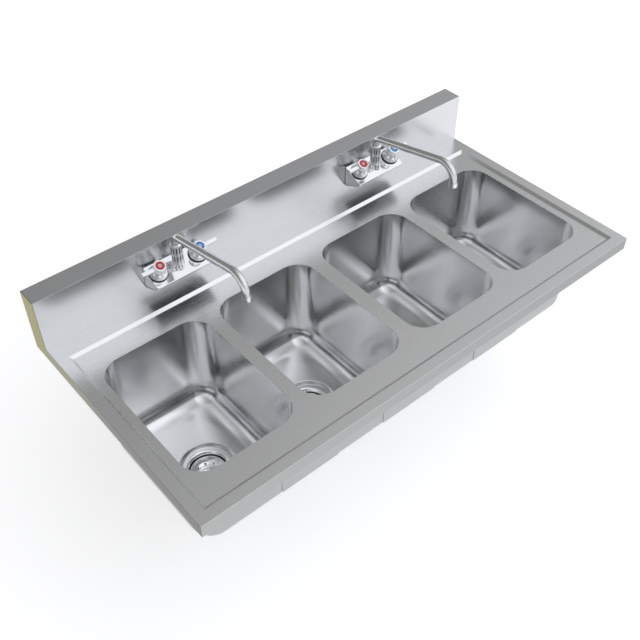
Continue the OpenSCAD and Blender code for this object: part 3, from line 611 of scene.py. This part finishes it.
# Under each bowl a rubber gasket and a cast locknut with eight lugs clamp the drain body to the seat. The nut
# runs on the barrel's thread.
LOCKNUT_R = 53.2
LUG_OUT = 3.2
LUG_FOOT = 1.7


def repeated(count, degrees):
    """Angles given round one of several even places, repeated round each of them."""
    return np.radians((np.arange(count)[:, None] * 360 / count + degrees).ravel())


def from_nearest(angles, count):
    """How many degrees each angle lies past the nearest of several even places."""
    step = 360 / count
    return (np.degrees(angles) + step / 2) % step - step / 2


gasket_path = looped(rounded(box(46, -4.2, FLANGE_R, -1.2), [0.3, 1.2, 0.6, 0.3]))
build("clamp_gaskets", [(turned(gasket_path) + place, True) for place in drain_places], black_rubber, "sink",
      ["drain_gaskets"])
cast_metal = finish("cast_metal", (0.48, 0.48, 0.47), (0.38, 0.38, 0.38), (0.32, 0.5), (420, 420, 420), dent=0.6)
lug_angles = repeated(8, [-22.5, -15, -9, -6.5, -5.2, -4.6, -4.2, -2, 0, 2, 4.2, 4.6, 5.2, 6.5, 9, 15])
lug_shape = np.interp(np.abs(from_nearest(lug_angles, 8)), [4.2, 4.6, 5.2, 6.5], [1, 0.86, 0.12, 0])
locknut_path = looped(rounded(box(45.3, -14.2, LOCKNUT_R, -4.2), [0.6, 1, 1, 0.6]))
locknut_grow = LUG_OUT * lug_shape * np.clip((locknut_path[:, :1] - (LOCKNUT_R - LUG_FOOT)) / LUG_FOOT, 0, 1)
build("clamp_locknuts", [(turned(locknut_path, lug_angles, locknut_grow) + place, True) for place in drain_places],
      cast_metal, "sink", ["drain_locknuts"])

# A straight tailpiece of thin drawn tube hangs from each drain's neck, held by a ribbed slip nut that bears on its
# flange and its bead.
SLIP_R = 28.5
RIB_R = 1.1


def half_round(angles, count, radius, small):
    """How far a round rib stands out, or a round slot cuts in, at each of several even places on a circle: the root
    of its small radius squared less the distance from its middle squared."""
    off = radius * np.sin(np.radians(from_nearest(angles, count)))
    return np.sqrt(np.clip(small ** 2 - off ** 2, 0, None))


tail_path = looped(rounded([(17.85, -66), (23.5, -66), (23.5, -67.5), (19.65, -67.5), (19.65, -70.5), (19.05, -70.5),
                            (19.05, -161), (17.85, -161)], [0.3, 0.4, 0.4, 0.3, 0.25, 0.2, 0.4, 0.4]))
tail_chrome = finish("tail_chrome", (0.56, 0.57, 0.58), (0.51, 0.52, 0.53), (0.14, 0.20), (260, 260, 260), dent=0.1)
build("tail_tubes", [(turned(tail_path) + place, True) for place in drain_places], tail_chrome, "sink",
      ["tailpieces"])
rib_angles = repeated(12, [-15, -8, -3, -2.2, -1.6, -0.8, 0, 0.8, 1.6, 2.2, 3, 8])
slip_path = looped(rounded([(19.75, -69.7), (SLIP_R, -69.7), (SLIP_R, -54), (24.1, -54), (24.1, -67.5),
                            (19.75, -67.5)], [0.4, 0.9, 0.9, 0.5, 0.2, 0.3]))
on_rim = np.clip((slip_path[:, :1] - (SLIP_R - RIB_R)) / RIB_R, 0, 1)
slip_points = turned(slip_path, rib_angles, half_round(rib_angles, 12, SLIP_R, RIB_R) * on_rim)
build("ribbed_slip_nuts", [(slip_points + place, True) for place in drain_places], cast_metal, "sink",
      ["slip_nuts"])

# Each faucet's body is cast brass with a bright chrome plate: a long wedge on the backsplash whose top slopes
# forward, with round front corners, and an upright boss in its middle that holds the spout.
FAUCET_X = (-0.288925, 0.288925)
SPOUT_AXIS = SPLASH_FACE - 0.027
BODY_HALF = 73.6
BODY_CORNER = 9
BACK_LOW, FRONT_LOW, FRONT_HIGH, BACK_HIGH = np.array([(1, 28), (50.22, 49.93), (53.6, 57.18), (1, 81.7)])
END_SOFT = 1.2
UNDER_LOW = 28.6
UNDER_HIGH = 49.5
# The body's slanting underside is painted dark: painted shade, which also darkens its reflection in the steel.
chrome = finish("chrome", (0.82, 0.83, 0.84), (0.79, 0.80, 0.81), (0.08, 0.13), (90, 90, 90), dent=0.05,
                tint=shade("under", 0.32))
lean = math.radians(25)
top_way = np.array([math.cos(lean), -math.sin(lean)])
low_way = FRONT_LOW - BACK_LOW
low_way /= np.linalg.norm(low_way)
turn = np.linspace(0, math.pi / 2, 6)[::-1]
reach = np.concatenate([BODY_HALF - END_SOFT + END_SOFT * np.cos(turn),
                        np.linspace(BODY_HALF - END_SOFT, BODY_HALF - BODY_CORNER, 12)[1:],
                        np.linspace(BODY_HALF - BODY_CORNER, 0, 9)[1:]])
end_inset = np.concatenate([END_SOFT * (1 - np.sin(turn)), np.zeros(len(reach) - len(turn))])
in_corner = np.clip(reach - BODY_HALF + BODY_CORNER, 0, BODY_CORNER)
back_off = BODY_CORNER - np.sqrt(BODY_CORNER ** 2 - in_corner ** 2)
stations = []
for station_x, off, inset in zip(reach, back_off, end_inset):
    corners = np.array([BACK_LOW, FRONT_LOW - low_way * off / (low_way @ top_way), FRONT_HIGH - top_way * off,
                        BACK_HIGH])
    section = rounded(corners - outward(corners) * inset, [0.3, 2, 2, 0.3], steps=4)
    stations.append(np.stack([np.full(len(section), station_x), -section[:, 0], section[:, 1]], -1))
fan = np.broadcast_to(stations[0].mean(0), stations[0].shape)
half_body = np.stack([fan] + stations)
whole_body = np.concatenate([half_body * [-1, 1, 1], half_body[-2::-1]]) * MM
boss_path = rounded([(0, 55), (14, 55), (14, 79), (10.2, 79), (10.2, 98), (5.8, 98), (5.8, 60), (0, 60)],
                    [0, 0, 1, 0.5, 0.5, 0.5, 0, 0], closed=False)


def underside(points):
    """1 on the body's slanting underside, which lies below a line that rises with it, and 0 elsewhere; the chrome is
    painted dark there, as painted shade.
    """
    out, up = (SPLASH_FACE - points[:, 1]) / MM, points[:, 2] / MM
    return (up < UNDER_LOW + out * low_way[1] / low_way[0]) & (up < UNDER_HIGH)


for number, x in enumerate(FAUCET_X, 1):
    surfaces = [(whole_body + [x, SPLASH_FACE, 0], True), (turned(boss_path) + [x, SPOUT_AXIS, 0], True)]
    body = build(f"chrome_body_{number}", surfaces, chrome, "sink", [f"faucet_body_{number}"])
    mark(body, "under", underside)

# Each handle is a chromed casting: a bell with eight flutes under a flat cap, and a short square lever that points
# away from the spout. It turns a quarter towards the front.
HANDLE_OUT = 0.0508
HUB_OUT = 0.0246
HUB_UP = 0.0707
BELL_FOOT = (20, 5)
BELL_NECK = (14.6, 25)
FLUTE_AT = 16.6
FLUTE_R = 3.2
FLUTE_LOW = 13.4
FLUTE_FADE = 1.4
handles = [(number, x, hand, side) for number, x in enumerate(FAUCET_X, 1)
           for hand, side in (("hot", -1), ("cold", 1))]
# The handles' chrome is painted brighter than the body's: painted light.
lit_handle_chrome = finish("lit_handle_chrome", (0.89, 0.90, 0.91), (0.86, 0.87, 0.88), (0.30, 0.38), (120, 120, 120),
                       dent=0.06)


def on_hub(points, side, x):
    """Points in a handle's own frame, moved to its place on the body, where its axis leans forward."""
    y = points[..., 1] * math.cos(lean) - points[..., 2] * math.sin(lean)
    z = points[..., 1] * math.sin(lean) + points[..., 2] * math.cos(lean)
    return np.stack([points[..., 0] + x + side * HANDLE_OUT, y + SPLASH_FACE - HUB_OUT, z + HUB_UP], -1)


round_192 = even_turn(192)
bell_path = rounded([(15.5, 2.5), (20, 2.5), BELL_FOOT, BELL_NECK, (12.4, 27.4), (12.4, 32.5), (13.6, 32.5),
                     (13.6, 36), (10.4, 36), (10.4, 33.6), (4.1, 33.6), (4.1, 13.3), (15.5, 13.3)],
                    [0.3, 0.8, 1.6, 1.2, 0.5, 0.4, 0.6, 0.6, 0.3, 0.3, 0.3, 0.3, 0.3], steps=6)
slant = np.linspace(BELL_FOOT, BELL_NECK, 25)[1:-1]
bell_path = np.concatenate([bell_path[:3 * 7], slant, bell_path[3 * 7:], bell_path[:1]])
from_flute = round_192 % (math.pi / 4) - math.pi / 8
flute_off = FLUTE_AT * np.sin(from_flute)
groove = FLUTE_AT * np.cos(from_flute) - np.sqrt(np.clip(FLUTE_R ** 2 - flute_off ** 2, 0, None))
cut = np.where(np.abs(flute_off) < FLUTE_R, np.clip(bell_path[:, :1] - groove, 0, None), 0)
outer = (bell_path[:, 0] > 12) & (bell_path[:, 1] > BELL_FOOT[1]) & (bell_path[:, 1] < 31)
flute_fade = np.clip((bell_path[:, 1] - FLUTE_LOW) / FLUTE_FADE, 0, 1) * outer
bell_points = turned(bell_path, round_192, -cut * flute_fade[:, None])
lever_points = plate(rounded(box(-43.8, -4.5, -8, 4.5), [1.6, 0.5, 0.5, 1.6]), 26.5, 32.5, 0.8) * MM
for number, x, hand, side in handles:
    surfaces = [(on_hub(bell_points, side, x), True), (on_hub(lever_points * [-side, -side, 1], side, x), True)]
    build(f"{hand}_bell_{number}", surfaces, lit_handle_chrome, f"{hand}_lever_{number}",
          [f"{hand}_handle_{number}"])

# Under each handle lies a moulded black ring, on which the bell's skirt turns. It rests on the body's top and
# stays with it.
ring_points = turned(looped(rounded(box(18.4, 0, 21.6, 2.2), [0.2, 0.5, 0.5, 0.2])))
for number, x in enumerate(FAUCET_X, 1):
    build(f"skirt_rings_{number}", [(on_hub(ring_points, side, x), True) for side in (-1, 1)], black_rubber, "sink",
          [f"handle_rings_{number}"])

# A round plastic button closes each handle: a coloured field in a white border, with a small white ring round a
# dark dot in the middle. It is moulded and printed.
BUTTON_R = 10.3
BUTTON_TOP_R = 9.4
BUTTON_CROWN = 0.25


def printed(name, tone):
    """Glossy printed plastic, coloured in rings by the distance from the button's middle, which the mesh carries
    as its own value, with a fine noise in the tone and in the gloss."""
    material = bpy.data.materials.new(name)
    material.use_nodes = True
    nodes, links = material.node_tree.nodes, material.node_tree.links
    shader = nodes["Principled BSDF"]
    far = nodes.new("ShaderNodeAttribute")
    far.attribute_name = "from_middle"
    rings = new_node(nodes, "ShaderNodeValToRGB", Fac=far.outputs["Fac"])
    white, dark = (0.90, 0.90, 0.90), (0.06, 0.05, 0.06)
    set_stops(rings, [(0.14, dark), (0.18, white), (0.32, white), (0.36, tone), (0.94, tone), (0.97, white)])
    place = nodes.new("ShaderNodeTexCoord").outputs["Object"]
    grain = new_node(nodes, "ShaderNodeTexNoise", Vector=place, Scale=700).outputs["Fac"]
    uneven = new_node(nodes, "ShaderNodeMapRange", Value=grain, To_Min=0.85, To_Max=1.1)
    blend = nodes.new("ShaderNodeVectorMath")
    blend.operation = "SCALE"
    links.new(rings.outputs["Color"], blend.inputs[0])
    links.new(uneven.outputs["Result"], blend.inputs["Scale"])
    links.new(blend.outputs["Vector"], shader.inputs["Base Color"])
    gloss = new_node(nodes, "ShaderNodeMapRange", Value=grain, To_Min=0.2, To_Max=0.32)
    links.new(gloss.outputs["Result"], shader.inputs["Roughness"])
    return material


def off_axis(arms):
    """How far points lie from a handle's axis through the origin."""
    axis = np.array([0, -math.sin(lean), math.cos(lean)])
    return np.linalg.norm(arms - (arms @ axis)[:, None] * axis, axis=1)


button_tones = {"hot": printed("hot_index", (0.62, 0.035, 0.06)), "cold": printed("cold_index", (0.06, 0.22, 0.62))}
crown = np.linspace(0, BUTTON_TOP_R, 13)[::-1]
button_side = rounded([(0, 33.6), (BUTTON_R, 33.6), (BUTTON_R, 35.75), (BUTTON_TOP_R, 35.75)], [0, 0.2, 0.6, 0],
                      closed=False)
button_top = np.stack([crown, 36 - BUTTON_CROWN * (crown / BUTTON_TOP_R) ** 2], -1)
button_points = turned(np.concatenate([button_side, button_top]))
for number, x, hand, side in handles:
    button = build(f"{hand}_button_{number}", [(on_hub(button_points, side, x), True)], button_tones[hand],
                   f"{hand}_lever_{number}", [f"{hand}_index_{number}"])
    mark(button, "from_middle",
         lambda points: off_axis(points - on_hub(np.zeros((1, 3)), side, x)) / (BUTTON_R * MM), "POINT")

# Each spout is one chromed tube: up from the body, a tight bend, a long run that climbs a little, and a wide bend
# down to the outlet. It swings half a turn on the body.
TUBE_R = 8.5
TUBE_IN = 7.3
TUBE_DEEP = 9
OUTLET_DOWN = math.radians(81.5)


def bent_path(low, turn_height, run, end, rise, down, bend, outlet_bend):
    """The spout's middle line in its own plane, (forward, up) in mm, and its direction at each point: straight
    stretches joined by arcs that touch both."""
    headings = np.array([math.pi / 2, rise, -down])
    corners = np.array([(0, low), (0, turn_height), (0, 0), (0, 0)], float)
    corners[2] = corners[1] + run * np.array([math.cos(headings[1]), math.sin(headings[1])])
    corners[3] = corners[2] + end * np.array([math.cos(headings[2]), math.sin(headings[2])])
    points, ways = [corners[:1]], [headings[:1]]
    for k, radius in ((1, bend), (2, outlet_bend)):
        before, after = headings[k - 1], headings[k]
        cut = radius * math.tan((before - after) / 2)
        start = corners[k] - cut * np.array([math.cos(before), math.sin(before)])
        centre = start + radius * np.array([math.sin(before), -math.cos(before)])
        heading = np.linspace(before, after, 24)
        arc = centre + radius * np.stack([-np.sin(heading), np.cos(heading)], -1)
        if k == 2:
            share = np.linspace(0, 1, 40)[1:-1, None]
            points.append(points[-1][-1] + (arc[0] - points[-1][-1]) * share)
            ways.append(np.full(len(share), before))
        points.append(arc)
        ways.append(heading)
    share = np.linspace(0, 1, 7)[1:, None]
    points.append(arc[-1] + (corners[3] - arc[-1]) * share)
    ways.append(np.full(len(share), headings[2]))
    return np.concatenate(points), np.concatenate(ways)


line, heading = bent_path(low=84, turn_height=147, run=251.5, end=53, rise=math.radians(12.5), down=OUTLET_DOWN,
                          bend=20, outlet_bend=35.4)
way = np.stack([np.cos(heading), np.sin(heading)], -1)
outlet_end = line[-1]
tip_in = outlet_end - way[-1] * TUBE_DEEP
line = np.concatenate([line[:1], line, line[-1:], [tip_in, tip_in]])
way = np.concatenate([way[:1], way, way[-1:], way[-1:], way[-1:]])
tube = np.full(len(line), TUBE_R)
tube[[0, -1]] = 0
tube[[-3, -2]] = TUBE_IN
round_48 = even_turn(48)
side_out = tube[:, None] * np.cos(round_48)
up_out = tube[:, None] * np.sin(round_48)
spout_points = np.stack([side_out, -(line[:, :1] - way[:, 1:] * up_out), line[:, 1:] + way[:, :1] * up_out], -1) * MM
# The tube's chrome is painted darker and a little green beside the body's: painted shade.
shaded_spout_chrome = finish("shaded_spout_chrome", (0.68, 0.70, 0.69), (0.65, 0.67, 0.66), (0.21, 0.27), (90, 90, 90), dent=0.05)
for number, x in enumerate(FAUCET_X, 1):
    build(f"swing_tube_{number}", [(spout_points + [x, SPOUT_AXIS, 0], True)], shaded_spout_chrome,
          f"swing_spout_{number}", [f"spout_{number}"])

# A tall knurled nut clamps the spout on the body's thread. It is turned and milled: two bands of upright slots with
# a plain band between them, and a cone at the top.
NUT_R = 12.6
SLOT_R = 1.1
SLOT_SEEN = 0.25
# The nut's slots are painted nearly black: painted shade.
nut_chrome = finish("nut_chrome", (0.89, 0.90, 0.91), (0.85, 0.86, 0.87), (0.30, 0.36), (200, 200, 200), dent=0.08,
                    tint=shade("slot", 0.06))
slot_angles = repeated(12, [-15, -11, -8, -6, -5, -4.2, -3, -1.5, 0, 1.5, 3, 4.2, 5, 6, 8, 11])
nut_path = rounded([(10.3, 79), (NUT_R, 79), (NUT_R, 127.4), (9.6, 130), (8.8, 130), (8.8, 103.6), (10.3, 103.6)],
                   [0.3, 0.8, 0.8, 0.6, 0.2, 0.2, 0.2])
band_edges = [86.3, 87.5, 99.8, 101, 107, 108.2, 122.4, 123.6]
nut_rows = np.sort(np.concatenate([band_edges, np.add.outer(band_edges, [-0.5, 0.4, 0.8]).ravel(),
                                   [83, 94, 104, 112, 118]]))
nut_path = np.concatenate([nut_path[:12], np.stack([np.full(len(nut_rows), NUT_R), nut_rows], -1), nut_path[12:],
                           nut_path[:1]])
in_band = np.interp(nut_path[:, 1], band_edges, [0, 1, 1, 0, 0, 1, 1, 0])
nut_grow = -half_round(slot_angles, 12, NUT_R, SLOT_R) * in_band[:, None] * (nut_path[:, :1] > 11.5)
nut_points = turned(nut_path, slot_angles, nut_grow)


def in_slot(points, x):
    """1 on faces that lie a little way in from the nut's wall, in its slots, and 0 elsewhere; the chrome is painted
    nearly black there, as painted shade.
    """
    radius = np.hypot(points[:, 0] - x, points[:, 1] - SPOUT_AXIS)
    return (NUT_R * MM - radius > SLOT_SEEN * MM) & (points[:, 2] > 83 * MM) & (points[:, 2] < 126 * MM)


for number, x in enumerate(FAUCET_X, 1):
    nut = build(f"swivel_nut_{number}", [(nut_points + [x, SPOUT_AXIS, 0], True)], nut_chrome, "sink",
                [f"spout_nut_{number}"])
    mark(nut, "slot", lambda points: in_slot(points, x))

# The outlet ends in a turned and chromed collar with a fine perforated screen, screwed over the tube. It swings
# with the spout.
SCREEN_IN, SCREEN_MID, SCREEN_OUT = 1.2, 4.4, 7.3
SCREEN_Z = 2
SCREEN_HOLE = 0.75


def at_outlet(points, x):
    """Points round a vertical axis, moved to the spout's end, with the axis along the tube's last stretch."""
    out, up = math.cos(-OUTLET_DOWN), math.sin(-OUTLET_DOWN)
    forward = outlet_end[0] * MM + points[..., 2] * out + points[..., 1] * up
    height = outlet_end[1] * MM + points[..., 2] * up - points[..., 1] * out
    return np.stack([points[..., 0] + x, SPOUT_AXIS - forward, height], -1)


collar_chrome = finish("collar_chrome", (0.88, 0.89, 0.90), (0.84, 0.85, 0.86), (0.16, 0.22), (120, 120, 120),
                       dent=0.06)
collar_path = looped(rounded([(8.6, -6), (9.8, -6), (9.8, 4), (SCREEN_OUT, 4), (SCREEN_OUT, 0.2), (8.6, 0.2)],
                             [0.2, 0.5, 0.7, 0.4, 0.2, 0.2]))
screen = [turned(collar_path), *holed_ring(12, SCREEN_MID, SCREEN_OUT, 5.9, SCREEN_HOLE, SCREEN_Z),
          *holed_ring(6, SCREEN_IN, SCREEN_MID, 2.8, SCREEN_HOLE, SCREEN_Z, per=16),
          turned(np.array([(SCREEN_IN, SCREEN_Z), (0, SCREEN_Z)]))]
for number, x in enumerate(FAUCET_X, 1):
    build(f"outlet_collar_{number}", [(at_outlet(surface, x), True) for surface in screen], collar_chrome,
          f"swing_spout_{number}", [f"aerator_{number}"])

# Behind the backsplash each inlet shank shows its thread, and a hexagonal brass nut with chamfered corners
# clamps it to the sheet.
INLET_UP = 0.054
SHANK_R = 10.3
HEX_R = 16.5
inlet_x = [x + side * HANDLE_OUT for _, x, _, side in handles]
brass = finish("brass", (0.62, 0.45, 0.22), (0.54, 0.38, 0.17), (0.2, 0.34), (240, 240, 240), dent=0.3)


def through_wall(points, x):
    """Points round a vertical axis, laid down so that the axis runs forward through the backsplash."""
    return np.stack([points[..., 0] + x, SPLASH_FACE - points[..., 2], points[..., 1] + INLET_UP], -1)


shank_path = rounded([(6.5, -43.2), (SHANK_R, -43.2), (SHANK_R, -9.2), (10.9, -9.2), (10.9, 8), (6.5, 8)],
                     [0.5, 0.8, 0.2, 0.3, 0.3, 0.3])
shank_points = threaded(shank_path, 12, -42, -9.6, SHANK_R, 1.8)
build("threaded_shanks", [(through_wall(shank_points, x), True) for x in inlet_x], brass, "sink",
      ["inlet_shanks"])
hexagon = HEX_R * math.cos(math.pi / 6) / np.cos(round_96 % (math.pi / 3) - math.pi / 6)
hex_path = looped(np.array([(11, -8.2), (14, -8.2), (14.6, -8.2), (15.6, -7.8), (HEX_R, -7.2), (HEX_R, -4.7),
                            (HEX_R, -2.2), (15.6, -1.6), (14.6, -1.2), (14, -1.2), (11, -1.2)]))
hex_points = turned(hex_path, grow=np.minimum(hex_path[:, :1], hexagon) - hex_path[:, :1])
build("hex_nuts", [(through_wall(hex_points, x), True) for x in inlet_x], brass, "sink",
      ["shank_nuts"], crisp=20)

# The pieces inside the faucets, which the handles and the bodies hide, keep the frame's own shapes: cartridges,
# stems, screws, the O-rings of the spouts and the gaskets behind the bodies.
screw_steel = finish("screw_steel", (0.60, 0.60, 0.60), (0.52, 0.52, 0.52), (0.2, 0.35), (300, 300, 300))
kept = {"cartridge": brass, "stem": brass, "screw": screw_steel, "spout_ring": black_rubber,
        "wall_pads": black_rubber}
for node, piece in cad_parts.items():
    for word, material in kept.items():
        if word in node:
            piece.data.materials.clear()
            piece.data.materials.append(material)

# The studio: a pale floor under the sink and a broad soft light all round, brightest high up in front on the
# right and dimmer behind, which gives the steel its greys. The floor runs out to low white walls far away, looks
# white, and keeps a soft shadow.
FLOOR_Z = cad_box[0][2] - 0.0005
WALL_AWAY = 400
WALL_HIGH = 70
FLOOR_GLOW = 0.55
LIGHT_FROM = (0.50, -0.65, 0.57)
LIGHT_LEVELS = [(0, 0.28), (0.25, 0.39), (0.47, 0.62), (0.7, 0.98), (0.88, 1.24), (1, 1.28)]
floor_mesh = bpy.data.meshes.new("studio_floor")
floor_mesh.from_pydata([(x * WALL_AWAY, y * WALL_AWAY, z) for z in (FLOOR_Z, WALL_HIGH)
                        for x, y in box(-1, -1, 1, 1)], [],
                       [(0, 1, 2, 3)] + [(k, k + 4, (k + 1) % 4 + 4, (k + 1) % 4) for k in range(4)])
floor = bpy.data.objects.new("studio_floor", floor_mesh)
bpy.context.scene.collection.objects.link(floor)
floor_white = bpy.data.materials.new("floor_white")
floor_white.use_nodes = True
nodes, links = floor_white.node_tree.nodes, floor_white.node_tree.links
nodes.remove(nodes["Principled BSDF"])
pale = new_node(nodes, "ShaderNodeBsdfDiffuse", Color=(0.75, 0.75, 0.75, 1))
glow = nodes.new("ShaderNodeEmission")
ray = nodes.new("ShaderNodeLightPath")
seen = ray.outputs["Is Camera Ray"]
for kind in ("Is Glossy Ray", "Is Transmission Ray"):
    either = nodes.new("ShaderNodeMath")
    either.operation = "MAXIMUM"
    links.new(seen, either.inputs[0])
    links.new(ray.outputs[kind], either.inputs[1])
    seen = either.outputs["Value"]
level = nodes.new("ShaderNodeMath")
level.operation = "MULTIPLY"
level.inputs[1].default_value = FLOOR_GLOW
links.new(seen, level.inputs[0])
links.new(level.outputs["Value"], glow.inputs["Strength"])
both = nodes.new("ShaderNodeAddShader")
links.new(pale.outputs["BSDF"], both.inputs[0])
links.new(glow.outputs["Emission"], both.inputs[1])
links.new(both.outputs["Shader"], nodes["Material Output"].inputs["Surface"])
floor_mesh.materials.append(floor_white)


def light_tone(level):
    """The colour of the studio's light at a level: plain, and a little cooler as it goes from a half to full."""
    cool = min(1, max(0, (level - 0.5) / 0.5))
    return level * (1 - 0.02 * cool), level, level * (1 + 0.05 * cool)


world = bpy.data.worlds.new("studio")
world.use_nodes = True
nodes, links = world.node_tree.nodes, world.node_tree.links
sight = nodes.new("ShaderNodeTexCoord")
toward = nodes.new("ShaderNodeVectorMath")
toward.operation = "DOT_PRODUCT"
toward.inputs[1].default_value = LIGHT_FROM
links.new(sight.outputs["Generated"], toward.inputs[0])
bright = nodes.new("ShaderNodeValToRGB")
set_stops(bright, [(position, light_tone(strength)) for position, strength in LIGHT_LEVELS])
links.new(toward.outputs["Value"], bright.inputs["Fac"])
links.new(bright.outputs["Color"], nodes["Background"].inputs["Color"])
bpy.context.scene.world = world
bpy.context.scene.view_settings.view_transform = "Standard"
